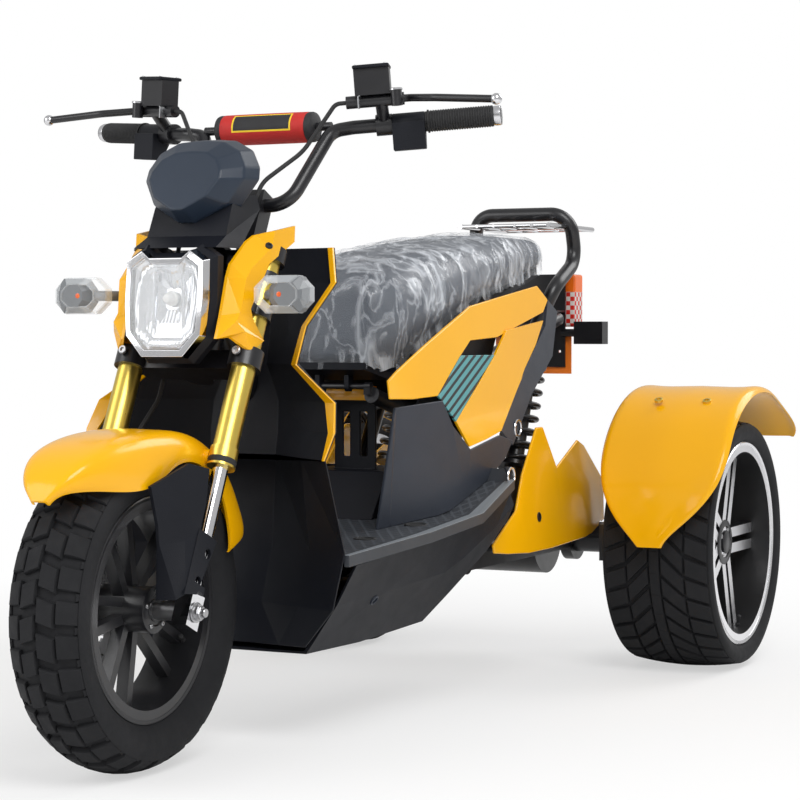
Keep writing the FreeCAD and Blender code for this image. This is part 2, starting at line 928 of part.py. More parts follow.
def clamp(start, thickness):
    """A yoke that holds both legs: two rings, a bridge and a centre boss."""
    middle = start + thickness / 2
    ring = rod(FORK, (0, S.fork_spread, middle), S.clamp_ring_radius, thickness, "z")
    bridge = box(FORK, (-S.fork_offset / 2, 0, middle), S.clamp_bridge_depth,
                 S.fork_spread * 2 - S.fork_upper_radius, thickness)
    boss = rod(FORK, (-S.fork_offset, 0, middle), S.stem_boss_radius, thickness, "z")
    yoke = joined(ring, mirrored(ring), bridge, boss)
    hole = rod(FORK, (0, S.fork_spread, middle), S.fork_upper_radius + S.running_gap,
               thickness + S.overrun, "z")
    return less(yoke, hole, mirrored(hole))


def yokes():
    """Both yokes on their stem, with the posts that hold the handlebar."""
    lower = clamp(S.lower_clamp_start, S.clamp_thickness)
    upper = clamp(S.upper_clamp_start, S.upper_clamp_thickness)
    top = S.upper_clamp_start + S.upper_clamp_thickness
    stem_length = top - S.lower_clamp_start
    stem = rod(FORK, (-S.fork_offset, 0, S.lower_clamp_start + stem_length / 2),
               S.stem_radius, stem_length, "z")
    height = S.bar_clamp_along + S.riser_cap - top
    post = box(FORK, (-S.bar_clamp_back, S.riser_side, top + height / 2), S.riser_depth,
               S.riser_width, height)
    bore = rod(FORK, (-S.bar_clamp_back, 0, S.bar_clamp_along), S.bar_radius + S.running_gap,
               S.riser_side * 2 + S.riser_width + S.overrun, "y")
    node("fork_yokes", less(joined(lower, upper, stem, post, mirrored(post)), bore))


# Fork guard rows from the top down: front edge, crease, rear edge, each as shares of the
# guard's reach, its height and the way out from its inner side
SHROUD_SHARES = [
    ((1.00, 0.69, 0.0), (0.62, 0.98, 0.55), (0.41, 1.00, 1.0)),
    ((0.71, 0.475, 0.0), (0.52, 0.65, 0.72), (0.32, 0.745, 1.0)),
    ((0.60, 0.35, 0.0), (0.45, 0.43, 0.74), (0.32, 0.53, 1.0)),
    ((0.375, -0.01, 0.0), (0.34, 0.01, 0.70), (0.32, 0.06, 1.0)),
]
STRAP_SHARES = [(0.34, 0.56), (-0.05, 0.56), (0.11, 0.11), (0.34, 0.06)]
STRAP_HOLE_SHARES = [(0.07, 0.43), (0.14, 0.20)]


def fork_shrouds():
    """Guards ahead of the inner tubes, each with a drilled strap beside its tube."""
    outer_side = S.fork_spread + S.lug_width / 2 + S.fit_gap + S.shroud_wall
    rows = []
    for shares in SHROUD_SHARES:
        row = []
        for ahead, up, out in shares:
            y = S.shroud_inner_side + (outer_side - S.shroud_inner_side) * out
            row.append(FORK.vector(S.shroud_reach * ahead, y, S.shroud_height * up))
        rows.append(row)
    guard = shell_solid(rows, shifted(rows, V(0, -float(S.shroud_wall), 0)))
    corners = [FORK.vector(S.shroud_reach * ahead, outer_side, S.shroud_height * up)
               for ahead, up in STRAP_SHARES]
    plate = Part.Face(Part.makePolygon(corners + corners[:1]))
    strap = plate.extrude(V(0, -float(S.shroud_wall), 0))
    holes = []
    for ahead, up in STRAP_HOLE_SHARES:
        start = FORK.vector(S.shroud_reach * ahead, outer_side + S.overrun, S.shroud_height * up)
        holes.append(Part.makeCylinder(float(S.shroud_hole_radius),
                                       float(S.shroud_wall + S.overrun * 2), start, -TRUE_Y))
    shield = shaped(guard.fuse(strap).cut(holes))
    foot_height = S.shroud_wall * 2
    foot_middle = S.fork_lower_start + foot_height / 2
    tab_length = S.shroud_reach * 0.24
    foot = less(
        joined(rod(FORK, (0, S.fork_spread, foot_middle), S.lug_width / 2 + S.shroud_wall,
                   foot_height, "z"),
               box(FORK, (tab_length / 2, (S.fork_spread + outer_side) / 2, foot_middle),
                   tab_length, outer_side - S.fork_spread, foot_height)),
        rod(FORK, (0, S.fork_spread, foot_middle), S.fork_lower_radius + S.running_gap,
            foot_height + S.overrun, "z"))
    node("fork_shrouds", pair(joined(shield, foot)))


def front_caliper():
    """Sits behind the right leg and straddles the disc."""
    middle = S.front_disc_radius - S.front_disc_arm
    body = box(FORK, (-middle * 0.82, -S.front_disc_side, middle * 0.5),
               S.lug_length, S.lug_width * 1.3, S.lug_length * 1.3)
    slot = rod(FRONT_WHEEL, (0, -S.front_disc_side, 0), S.front_disc_radius + S.overrun * 2,
               S.front_disc_thickness + S.overrun * 2, "y")
    arm = box(FORK, (-middle * 0.36, -(S.fork_spread - S.lug_width / 2 + S.panel_wall), S.lug_depth / 2),
              middle * 0.6, S.panel_wall * 2, S.lug_depth / 3)
    leg = box(FORK, (0, -S.fork_spread, S.fork_lower_start - S.lug_length / 2), S.lug_depth,
              S.lug_width, S.lug_length)
    joint = box(FORK, (-middle * 0.72, -(S.front_disc_side + S.lug_width * 0.65), S.lug_depth / 2),
                S.lug_depth, S.lug_width, S.lug_depth / 3)
    node("front_brake_caliper", less(joined(body, arm, joint), slot, leg))


def bar_point(name):
    drop = S.bar_end_height - S.bar_end_height
    if name != "end":
        drop = getattr(S, "bar_%s_drop" % name)
    return (behind(getattr(S, "bar_%s_behind" % name)), getattr(S, "bar_%s_side" % name),
            S.bar_end_height - drop)


def bar_clamp_point(side):
    x, _, z = FORK.point(-S.bar_clamp_back, 0, S.bar_clamp_along)
    return (x, side, z)


def opposite(point):
    return (point[0], -point[1], point[2])


def bar_route():
    half = [bar_clamp_point(S.bar_straight_side), bar_point("knee"), bar_point("shoulder"),
            bar_point("end")]
    return [opposite(point) for point in reversed(half)] + half


def crossbar_place():
    x, _, z = bar_point("knee")
    return (x, 0, z + S.crossbar_rise)


def handlebar():
    bar = tube(bar_route(), S.bar_radius, S.bar_bend)
    cross = rod(LEVEL, crossbar_place(), S.crossbar_radius, S.bar_knee_side * 2, "y")
    node("handlebar", joined(bar, cross))
    pad = less(rod(LEVEL, crossbar_place(), S.pad_radius, S.pad_half_length * 2, "y"),
               rod(LEVEL, crossbar_place(), S.crossbar_radius + S.fit_gap,
                   S.pad_half_length * 2 + S.overrun, "y"))
    node("crossbar_pad", pad)


def bar_axis(side):
    """The last straight run of the bar: its end and its unit direction outwards."""
    start, end = vector(bar_point("shoulder")), vector(bar_point("end"))
    if side < 0:
        start.y, end.y = -start.y, -end.y
    return end, (end - start).normalize()


def along_bar(side, distance):
    end, out = bar_axis(side)
    return end - out * distance


def bar_rod(side, start, length, radius, bore=None):
    """A round piece on the bar, from start inwards from its end."""
    end, out = bar_axis(side)
    piece = Part.makeCylinder(radius, length, end - out * (start + length), out)
    if bore:
        spare = float(S.overrun)
        tool = Part.makeCylinder(bore, length + 2 * spare, end - out * (start + length + spare), out)
        piece = piece.cut(tool)
    return piece


def grips():
    """Rubber grips, each closed by its bar end weight."""
    bore = float(S.bar_radius + S.running_gap)
    sleeve = bar_rod(1, 0, float(S.grip_length), float(S.grip_radius), bore)
    weight = bar_rod(1, float(-S.bar_end_length), float(S.bar_end_length),
                     float(S.bar_end_radius))
    grip = sleeve.fuse(weight)
    node("grips", shaped(Part.makeCompound([grip, grip.mirror(V(), TRUE_Y)])))


# Round the switch case, behind the bar first: (share of its depth ahead of the bar, drop share)
SWITCH_CASE_SHARES = [(0.66, 0.0), (-0.34, 0.0), (-0.34, 0.2), (0.12, 1.0), (0.66, 1.0)]


def controls():
    """Switch boxes, lever perches with master cylinders and levers, and the fluid reservoirs."""
    bore = float(S.bar_radius + S.running_gap)
    switch_at = float(S.grip_length + S.fit_gap)
    switch_length = float(S.switch_length)
    perch_at = switch_at + switch_length + float(S.fit_gap)
    perch_length = float(S.perch_length)
    end, out = bar_axis(1)
    ahead = out.cross(TRUE_Z).normalize()
    up = ahead.cross(out) * -1
    if up.z < 0:
        up = up * -1

    def brick(start, length, depth, height):
        """A block that runs outwards along the bar from its inner end's centre."""
        low = start - ahead * (depth / 2) - up * (height / 2)
        corners = [low, low + ahead * depth, low + ahead * depth + up * height, low + up * height]
        face = Part.Face(Part.makePolygon(corners + corners[:1]))
        return face.extrude(out * length)

    drop = float(S.switch_drop)
    inner_end = along_bar(1, switch_at + switch_length)
    switch = bar_rod(1, switch_at, switch_length, float(S.switch_radius))
    corners = [inner_end + ahead * (float(S.switch_depth) * front) - up * (drop * down)
               for front, down in SWITCH_CASE_SHARES]
    case = Part.Face(Part.makePolygon(corners + corners[:1])).extrude(out * switch_length)
    room = bar_rod(1, switch_at - float(S.overrun), switch_length + float(S.overrun) * 2, bore)
    switch = switch.fuse(case).cut(room).removeSplitter()

    perch = bar_rod(1, perch_at, perch_length, float(S.perch_radius), bore)
    middle = along_bar(1, perch_at + perch_length / 2)
    offset = ahead * float(S.master_ahead) + up * float(S.master_rise)
    radius, length = float(S.master_radius), float(S.master_length)
    clear = V(offset).normalize() * bore
    arm = Part.makeCylinder(radius, offset.Length - bore, middle + clear, offset)
    start = middle + offset - out * (length * 0.6)
    cylinder = Part.makeCylinder(radius, length, start, out)
    pivot = start + out * length
    tip = end + ahead * float(S.lever_ahead) + up * float(S.lever_rise) + out * float(S.lever_out)
    elbow = pivot + (tip - pivot) * 0.35 + ahead * (radius * 1.4)
    blade = tube_shape([pivot - out * radius, pivot + out * radius, elbow, tip],
                       float(S.lever_radius), float(S.lever_bend))
    ball = Part.makeSphere(float(S.lever_ball_radius), tip)
    boss_radius, boss_height = float(S.mirror_boss_radius), float(S.mirror_boss_height)
    boss_middle = pivot - out * (boss_radius * 1.2) + ahead * (radius + boss_radius * 0.7)
    boss = Part.makeCylinder(boss_radius, boss_height, boss_middle - up * (boss_height / 2), up)
    mirror_hole = Part.makeCylinder(float(S.mirror_hole_radius), boss_height * 2,
                                    boss_middle - up * boss_height, up)
    rise = radius * 0.8 + float(S.reservoir_height) / 2
    cup = brick(start + up * rise + out * (radius * 1.6), float(S.reservoir_length),
                float(S.reservoir_depth), float(S.reservoir_height))
    lever = perch.fuse([arm, cylinder, blade, ball, boss, cup]).cut(mirror_hole).removeSplitter()
    for name, shape in (("switch_boxes", switch), ("brake_levers", lever)):
        twin = shape.mirror(V(), TRUE_Y)
        node(name, shaped(Part.makeCompound([shape, twin])))
    brake_hoses(start, ahead, out)


def brake_hoses(start, ahead, out):
    """From each master cylinder down between mask and yoke: to the union, and to the caliper."""
    radius, bend = float(S.hose_radius), float(S.hose_bend)
    depth = float(S.reservoir_depth)
    clear, low_side = float(S.hose_side), float(S.hose_low_side)
    top = S.upper_clamp_start + S.upper_clamp_thickness / 2
    low = S.lower_clamp_start + S.clamp_thickness
    inside = -(S.hose_radius + S.panel_wall)
    bar_top = S.bar_end_height
    shared = [
        start,
        start - out * depth * 0.5,
        vector((behind(S.hose_knee_behind), S.hose_knee_side, bar_top - S.hose_knee_drop)),
        vector((behind(S.hose_neck_behind), S.hose_neck_side, bar_top - S.hose_neck_drop)),
        vector((behind(S.hose_waist_behind), clear, S.hose_waist_height)),
        vector((behind(S.hose_low_behind), clear, S.hose_low_height)),
        FORK.vector(inside, low_side, top - S.clamp_thickness * 2),
    ]
    left = tube_shape(shared + [
        FORK.vector(inside, low_side, low + S.clamp_thickness * 3),
        FORK.vector(inside * 2, low_side, low + S.clamp_thickness),
        FORK.vector(inside * 2, low_side, low)], radius, bend)
    right = tube_shape(shared + [
        FORK.vector(inside, low_side, low + S.clamp_thickness * 3),
        FORK.vector(-S.hose_back * 1.5, low_side, low + S.clamp_thickness),
        FORK.vector(-S.hose_back * 1.5, low_side, low - S.clamp_thickness * 2),
        FORK.vector(-S.hose_back, low_side * 1.25, S.fork_upper_start + S.lug_length),
        FORK.vector(-S.hose_back, low_side * 1.25, S.fork_upper_start - S.lug_length),
        FORK.vector(-S.front_disc_radius * 0.75, S.front_disc_side + S.lug_width * 0.2,
                    S.lug_length * 2.4),
        FORK.vector(-S.front_disc_radius * 0.75, S.front_disc_side + S.lug_width * 0.2,
                    S.lug_length * 1.6)], radius, bend).mirror(V(), TRUE_Y)
    node("brake_hoses", shaped(Part.makeCompound([left, right])))


def attached(anchor, shape):
    """The anchor with only those solids of a cut shape that meet it."""
    near = [solid for solid in shape.Solids if solid.distToShape(anchor)[0] < float(S.fit_gap)]
    return anchor.fuse(near).removeSplitter()


def lamp_brackets(wing, cowl, mask):
    """Clamps on the upper tubes that carry cowl and wings, and the plate under the mask."""
    low = S.lower_clamp_start + S.clamp_thickness * 3
    tube_room = rod(FORK, (0, S.fork_spread, low), S.fork_upper_radius + S.running_gap,
                    S.upper_clamp_start, "z")
    top = S.upper_clamp_start + S.upper_clamp_thickness + S.panel_wall
    plate = less(box(FORK, (S.clamp_bridge_depth * 0.4, 0, top), S.clamp_bridge_depth * 1.6,
                     S.clamp_bridge_depth, S.panel_wall * 2), mask)
    sides = []
    for along in (low, low + S.clamp_thickness * 2):
        ring = less(rod(FORK, (0, S.fork_spread, along), S.clamp_ring_radius * 0.92,
                        S.clamp_thickness / 2, "z"), tube_room)
        inward = less(box(FORK, (S.clamp_ring_radius * 1.3, S.fork_spread - S.clamp_ring_radius,
                                 along), S.clamp_ring_radius * 2.6, S.panel_wall * 2,
                          S.clamp_thickness / 2), tube_room, cowl, wing)
        forward = less(box(FORK, (S.clamp_ring_radius * 1.6, S.fork_spread + S.fork_upper_radius / 2,
                                  along), S.clamp_ring_radius * 3.2, S.panel_wall,
                           S.clamp_thickness / 2), tube_room, wing)
        doc.recompute()
        sides.append(attached(attached(ring.Shape, inward.Shape), forward.Shape))
    doc.recompute()
    side = shaped(Part.makeCompound(sides))
    node("lamp_brackets", together(side, mirrored(side), shaped(plate.Shape)))


# Lamp outline as (side share, height share), from the low left corner round
LAMP_SHARES = [
    (-0.52, 0.00), (0.52, 0.00), (0.94, 0.20), (1.00, 0.52), (0.98, 0.90), (0.62, 1.00),
    (0.42, 0.93), (-0.42, 0.93), (-0.62, 1.00), (-0.98, 0.90), (-1.00, 0.52), (-0.94, 0.20),
]
MASK_SHARES = [
    (-0.16, 0.00), (0.16, 0.00), (0.74, 0.22), (1.00, 0.52), (0.98, 0.66), (0.80, 0.86),
    (0.46, 0.98), (0.12, 1.00), (-0.12, 1.00), (-0.46, 0.98), (-0.80, 0.86), (-0.98, 0.66),
    (-1.00, 0.52), (-0.74, 0.22),
]
# Neck rows from the lamp up to the mask: centre, front corner and rear edge, each as
# shares of the neck's length and half width, then the row's share of its height
NECK_SHARES = [
    (((0.00, 0.0), (0.04, 0.86), (0.44, 0.96)), 0.00),
    (((0.22, 0.0), (0.27, 0.83), (0.60, 0.90)), 0.22),
    (((0.36, 0.0), (0.40, 0.81), (0.98, 0.80)), 0.76),
    (((0.46, 0.0), (0.52, 0.78), (0.92, 0.80)), 1.00),
]


def lamp_ring(behind_front, scale, outline=None):
    """One ring of the lamp's outline, set back from its front and scaled about its middle."""
    low, top = float(S.lamp_low_height), float(S.lamp_top_height)
    middle = (low + top) / 2
    ring = []
    for out, up in outline or LAMP_SHARES:
        z = low + (top - low) * up
        lean = float(S.lamp_lean) * (up - 0.5)
        x = float(behind(S.lamp_front_behind)) - behind_front - lean
        ring.append(V(x, float(S.lamp_half_width) * out * scale, middle + (z - middle) * scale))
    return ring


def headlamp():
    """A bezel with its reflector bowl, a clear lens and the shell behind them."""
    depth, wall, gap = float(S.lamp_depth), float(S.panel_wall), float(S.fit_gap)
    half = float(S.lamp_half_width)
    back = wall / half
    inner = 1 - 2.2 * back
    cowl_back = depth + float(S.cowl_depth)
    bowl_back = cowl_back * 0.62
    outside = [lamp_ring(wall, 1.0), lamp_ring(depth, 1.04), lamp_ring(depth, inner + back),
               lamp_ring(bowl_back, 0.42)]
    inside = [lamp_ring(wall, inner), lamp_ring(depth / 2, inner), lamp_ring(depth * 0.8, inner),
              lamp_ring(bowl_back - wall, 0.42 - back)]
    bowl_end = block_solid([lamp_ring(bowl_back - wall, 0.42 - back), lamp_ring(bowl_back, 0.42)])
    bowl = shell_solid(outside, inside, closed=True).fuse(bowl_end).removeSplitter()
    node("headlamp_bezel", shaped(bowl))
    lens_scale = inner - gap / half
    node("headlamp_lens", shaped(block_solid([
        lamp_ring(0, lens_scale * 0.94), lamp_ring(wall, lens_scale)])))
    start = depth + gap
    outer = [lamp_ring(start, 1.04), lamp_ring(start + wall * 3, 1.13),
             lamp_ring(cowl_back * 0.7, 1.13), lamp_ring(cowl_back, 0.86)]
    inner_rings = [lamp_ring(start, 1.04 - back), lamp_ring(start + wall * 3, 1.13 - back),
                   lamp_ring(cowl_back * 0.7, 1.13 - back),
                   lamp_ring(cowl_back - wall, 0.86 - back)]
    cowl_end = block_solid([lamp_ring(cowl_back - wall, 0.86 - back), lamp_ring(cowl_back, 0.86)])
    cowl = shell_solid(outer, inner_rings, closed=True).fuse(cowl_end).removeSplitter()
    return cowl, shaped(bowl)


def neck_shell():
    """The black neck that runs from the lamp's top round the yoke up to the mask."""
    wall = float(S.neck_wall)
    outer, inner = [], []
    for corners, up in NECK_SHARES:
        z = float(S.neck_low_height + S.neck_height * up)
        left, left_in = [], []
        for back, out in corners:
            x = float(behind(S.neck_front_behind + S.neck_length * back))
            y = float(S.neck_half_width) * out
            left.append(V(x, y, z))
            left_in.append(V(x - (wall if back < 0.55 else 0), max(y - wall, 0), z))
        outer.append([V(p.x, -p.y, p.z) for p in reversed(left[1:])] + left)
        inner.append([V(p.x, -p.y, p.z) for p in reversed(left_in[1:])] + left_in)
    return shell_solid(outer, inner)


def lamp_cowl(lamp, mask):
    """The shell round the back of the lamp, with the neck that carries the mask."""
    shell, bowl = lamp
    middle = S.upper_clamp_start + S.upper_clamp_thickness / 2
    spare = S.overrun * 2
    room = joined(
        rod(FORK, (0, S.fork_spread, middle), S.clamp_ring_radius + spare,
            S.upper_clamp_thickness + spare * 2, "z"),
        box(FORK, (-S.fork_offset / 2, 0, middle), S.clamp_bridge_depth + spare * 2,
            S.fork_spread * 2, S.upper_clamp_thickness + spare * 2))
    doc.recompute()
    neck = neck_shell().cut([mask.Shape, bowl.Shape, room.Shape,
                             room.Shape.mirror(V(), TRUE_Y)])
    whole = shell.fuse(neck).removeSplitter()
    return node("headlamp_cowl", shaped(max(whole.Solids, key=lambda solid: solid.Volume)))


def instrument_mask():
    low, top = float(S.mask_low_height), float(S.mask_top_height)
    half = float(S.mask_half_width)

    def ring(back, scale):
        middle = (low + top) / 2
        points = []
        for out, up in MASK_SHARES:
            z = low + (top - low) * up
            x = float(behind(S.mask_front_behind)) - back - float(S.mask_lean) * (up - 0.4)
            points.append(V(x, half * out * scale, middle + (z - middle) * scale))
        return points

    depth = float(S.mask_depth)
    return node("instrument_cowl", shaped(block_solid([
        ring(0, 0.66), ring(depth * 0.35, 0.94), ring(depth * 0.75, 1.0), ring(depth, 0.84)])))


# Wing outline as (back, out, up) shares: front edge, crease, rear edge, from top to bottom
WING_SHARES = [
    ((0.52, 0.26, 0.90), (0.58, 0.95, 0.935), (0.88, 1.00, 0.985)),
    ((0.445, 0.14, 0.85), (0.55, 0.90, 0.81), (0.87, 1.00, 0.86)),
    ((0.255, 0.00, 0.675), (0.33, 0.67, 0.65), (0.505, 0.90, 0.68)),
    ((0.205, 0.00, 0.575), (0.24, 0.67, 0.565), (0.445, 0.86, 0.585)),
    ((0.11, 0.00, 0.29), (0.185, 0.57, 0.31), (0.295, 0.71, 0.34)),
    ((0.04, 0.00, 0.115), (0.125, 0.57, 0.245), (0.325, 0.71, 0.265)),
    ((0.145, 0.29, 0.125), (0.19, 0.76, 0.17), (0.405, 0.95, 0.10)),
    ((0.235, 0.62, 0.045), (0.24, 0.74, 0.035), (0.28, 0.83, 0.03)),
]


def cowl_wings():
    rows = []
    for shares in WING_SHARES:
        row = []
        for back, out, up in shares:
            row.append(vector((
                behind(S.wing_front_behind + S.wing_length * back),
                S.wing_side + S.wing_spread * out,
                S.wing_low_height + S.wing_height * up)))
        rows.append(row)
    inner = shifted(rows, V(0, -float(S.wing_wall), 0))
    middle = S.upper_clamp_start + S.upper_clamp_thickness / 2
    tube_room = rod(FORK, (0, S.fork_spread, middle), S.fork_upper_radius + S.fit_gap,
                    S.wing_height * 2, "z")
    ring_room = rod(FORK, (0, S.fork_spread, middle), S.clamp_ring_radius + S.fit_gap,
                    S.upper_clamp_thickness + S.fit_gap * 2, "z")
    doc.recompute()
    wing = shaped(trimmed(shell_solid(rows, inner), tube_room.Shape, ring_room.Shape))
    node("cowl_wings", pair(wing))
    return wing


# Octagon of a turn signal, and its rings: (depth share, scale share)
OCTAGON_SHARES = [
    (-1.0, -0.38), (-0.58, -1.0), (0.58, -1.0), (1.0, -0.38), (1.0, 0.38), (0.58, 1.0),
    (-0.58, 1.0), (-1.0, 0.38),
]
SIGNAL_SHARES = [(0.50, 0.62), (0.28, 1.0), (-0.14, 0.96), (-0.50, 0.50)]


def signal_block(x, y, z):
    """An eight-sided lamp that faces forward, narrower at its face and back."""
    rings = []
    for depth, scale in SIGNAL_SHARES:
        ring = []
        for out, up in OCTAGON_SHARES:
            ring.append(vector((x + S.signal_depth * depth,
                                y + S.signal_length / 2 * out * scale,
                                z + S.signal_face_height / 2 * up * scale)))
        rings.append(ring)
    return shaped(block_solid(rings))


def front_signals():
    """Turn signals on bent stalks from the upper fork tubes."""
    lamp = signal_block(behind(S.signal_behind), S.signal_side + S.signal_length / 2,
                        S.signal_height)
    lean = (S.signal_height - FRONT_AXLE_Z) * SIN_RAKE / COS_RAKE
    stalk = tube([
        (behind(lean), S.fork_spread + S.fork_upper_radius / 2, S.signal_height),
        (behind(lean), S.fork_spread + S.clamp_ring_radius, S.signal_height),
        (behind(S.signal_behind), S.signal_side - S.signal_stalk_radius, S.signal_height),
        (behind(S.signal_behind), S.signal_side + S.signal_stalk_radius, S.signal_height)],
        S.signal_stalk_radius, S.signal_depth)
    leg = rod(FORK, (0, S.fork_spread, S.lower_clamp_start + S.clamp_thickness * 3),
              S.fork_upper_radius + S.running_gap, S.upper_clamp_start, "z")
    node("front_signals", pair(less(joined(lamp, stalk), leg)))


def smooth_shell(outer, inner):
    """A solid between two grids of points whose rows and columns both run as curves."""
    sections = []
    for out_row, in_row in zip(outer, inner):
        out_curve, in_curve = Part.BSplineCurve(), Part.BSplineCurve()
        out_curve.interpolate(out_row)
        in_curve.interpolate(list(reversed(in_row)))
        sections.append(Part.Wire([
            out_curve.toShape(), Part.makeLine(out_row[-1], in_row[-1]),
            in_curve.toShape(), Part.makeLine(in_row[0], out_row[0])]))
    solid = Part.makeLoft(sections, True, False)
    if solid.Volume < 0:
        solid.reverse()
    return solid


# Fender stations: angle from straight ahead, then shares of radius, half width and skirt
FENDER_SHARES = [
    (37, 1.092, 0.19, 0.14),
    (43, 1.118, 0.54, 0.34),
    (52, 1.115, 0.84, 0.84),
    (65, 1.065, 0.97, 1.10),
    (80, 1.015, 1.00, 1.00),
    (95, 1.004, 1.00, 0.70),
    (110, 1.015, 1.00, 0.58),
    (128, 1.023, 0.97, 0.62),
    (145, 1.015, 0.95, 0.80),
    (158, 1.000, 0.92, 1.00),
]
# Across the fender from its left edge to the middle: (side share, drop share)
FENDER_ARC_SHARES = [(-1.0, 1.0), (-0.99, 0.48), (-0.84, 0.12), (-0.45, 0.015), (0.0, 0.0)]


def front_fender():
    """A beak ahead, a crown over the tyre and a short tail behind the fork."""
    wall, half = float(S.fender_wall), float(S.fender_half_width)
    arc = FENDER_ARC_SHARES + [(-side, drop) for side, drop in reversed(FENDER_ARC_SHARES[:-1])]

    def row(turn, radius, side_share, skirt, inset):
        points = []
        for side, drop in arc:
            y = side * (half * side_share - inset)
            r = radius - inset - drop * (skirt - inset)
            points.append(V(float(FRONT_AXLE_X) + r * math.cos(turn), y,
                            float(FRONT_AXLE_Z) + r * math.sin(turn)))
        return points

    outer, inner = [], []
    for angle, radius_share, side_share, skirt_share in FENDER_SHARES:
        turn = math.radians(angle)
        radius = float(S.fender_crown) * radius_share
        outer.append(row(turn, radius, side_share, half * skirt_share, 0))
        inner.append(row(turn, radius, side_share, half * skirt_share, wall))
    along = S.fork_upper_start + S.fork_collar_length / 2
    start = S.fender_half_width * 0.92
    end = S.fork_spread - S.fork_upper_radius
    boss = rod(FORK, (0, (start + end) / 2, along), S.clamp_ring_radius / 2, end - start, "y")
    leg = rod(FORK, (0, S.fork_spread, along), S.fork_collar_radius + S.running_gap,
              S.fork_collar_length * 2, "z")
    boss = less(boss, leg)
    node("front_fender", joined(shaped(smooth_shell(outer, inner)), boss, mirrored(boss)))


# Chassis
def spine(radius):
    """The tube from the head tube down behind the leg shield to the floor rails."""
    top = FORK.point(-(S.fork_offset + S.stem_radius), 0, S.spine_top_along)
    return tube([top, (behind(S.spine_knee_behind), 0, S.spine_knee_height),
                 (behind(S.rail_front_behind), 0, S.rail_height)], radius, S.frame_bend)


def tub_base():
    return S.seat_low_height - S.tub_drop


def seat_rail_height():
    return tub_base() - S.frame_radius - S.fit_gap


def hinge_height():
    return S.seat_low_height - S.seat_hinge_drop


def tail_rail_height(where):
    """The height of the tail rail's axis this far behind the front axle."""
    share = (where - S.kick_behind) / (S.tail_behind - S.kick_behind)
    return S.kick_height + (S.tail_height - S.kick_height) * share


def rising_rail(height):
    """The point of the left frame rail at this height, on its way up to the kick."""
    share = (height - S.rail_height) / (S.kick_height - S.rail_height)
    return (behind(S.rail_rear_behind + (S.kick_behind - S.rail_rear_behind) * share),
            S.rail_side + (S.kick_side - S.rail_side) * share, height)


def shock_top_height():
    return tail_rail_height(S.shock_top_behind) - S.shock_top_drop


def main_frame():
    head_gap = S.fit_gap * 2
    low = S.lower_clamp_start + S.clamp_thickness + head_gap
    high = S.upper_clamp_start - head_gap
    head = rod(FORK, (-S.fork_offset, 0, (low + high) / 2), S.head_tube_radius, high - low, "z")
    rail = tube([
        (behind(S.rail_front_behind), S.rail_side, S.rail_height),
        (behind(S.rail_rear_behind), S.rail_side, S.rail_height),
        (behind(S.kick_behind), S.kick_side, S.kick_height),
        (behind(S.tail_behind), S.kick_side, S.tail_height)], S.frame_radius, S.frame_bend)
    seat_rail = tube([
        (behind(S.seat_hinge_behind), S.kick_side, hinge_height() - S.frame_radius),
        (behind(S.tub_front_behind - S.frame_radius), S.kick_side, seat_rail_height()),
        rising_rail(seat_rail_height())],
        S.frame_radius, S.frame_bend)
    crosses = []
    for where, height, half in (
            (S.rail_front_behind, S.rail_height, S.rail_side),
            (S.rail_rear_behind, S.rail_height, S.arm_side + S.arm_width / 2 + S.overrun),
            (S.tail_behind, S.tail_height, S.kick_side)):
        crosses.append(rod(LEVEL, (behind(where), 0, height), S.frame_radius, half * 2, "y"))
    mount_half = S.shock_side + S.shock_eye_width / 2 + S.overrun
    crosses.append(rod(LEVEL, (behind(S.shock_top_behind), 0, shock_top_height()),
                       S.shock_pin_radius + S.panel_wall, mount_half * 2, "y"))
    over_floor = shaped(shell_solid(floor_rows(-float(S.floor_front_height)),
                                    floor_rows(float(S.floor_wall))))
    posts = []
    lugs = []
    for where in (S.rail_front_behind * 1.2, S.rail_rear_behind * 0.9):
        post = rod(LEVEL, (behind(where), S.rail_side, S.floor_front_height), S.frame_radius / 2,
                   (S.floor_front_height - S.rail_height) * 2, "z")
        posts.append(less(post, over_floor))
    for step in (-0.3, 0.3):
        lugs.append(box(LEVEL, (behind(S.battery_behind + S.battery_length * step),
                                (S.battery_width / 2 + S.rail_side) / 2, S.rail_height),
                        S.frame_radius * 2, S.rail_side - S.battery_width / 2, S.frame_radius))
    stands = joined(*(posts + lugs))
    base = hinge_height() - S.frame_radius
    inside = S.kick_side - S.seat_pan_thickness / 2
    ear = joined(
        box(LEVEL, (behind(S.seat_hinge_behind), inside, base + S.frame_radius / 2),
            S.hinge_pin_radius * 2.8, S.seat_pan_thickness, S.frame_radius),
        rod(LEVEL, (behind(S.seat_hinge_behind), inside, hinge_height()),
            S.hinge_pin_radius * 1.5, S.seat_pan_thickness, "y"))
    pin = rod(LEVEL, (behind(S.seat_hinge_behind), 0, hinge_height()), S.hinge_pin_radius,
              inside * 2, "y")
    whole = joined(head, spine(S.spine_radius), rail, mirrored(rail), seat_rail,
                   mirrored(seat_rail), ear, mirrored(ear), pin, stands, mirrored(stands),
                   *crosses)
    bore = rod(FORK, (-S.fork_offset, 0, (low + high) / 2), S.stem_radius + S.running_gap,
               high - low + S.overrun, "z")
    node("main_frame", less(whole, bore))


# Leg shield rows: (up share, side share, centre set-back share), from the top down
SHIELD_SHARES = [
    (1.00, 0.67, 0.25),
    (0.83, 0.75, 0.45),
    (0.62, 0.59, 0.75),
    (0.44, 0.58, 1.00),
    (0.265, 0.94, 1.30),
    (0.128, 0.985, 1.50),
    (0.00, 0.95, 1.70),
]
# The trim's width beside each row
TRIM_SHARES = [0.55, 0.55, 0.65, 1.00, 1.60, 1.10, 0.40]
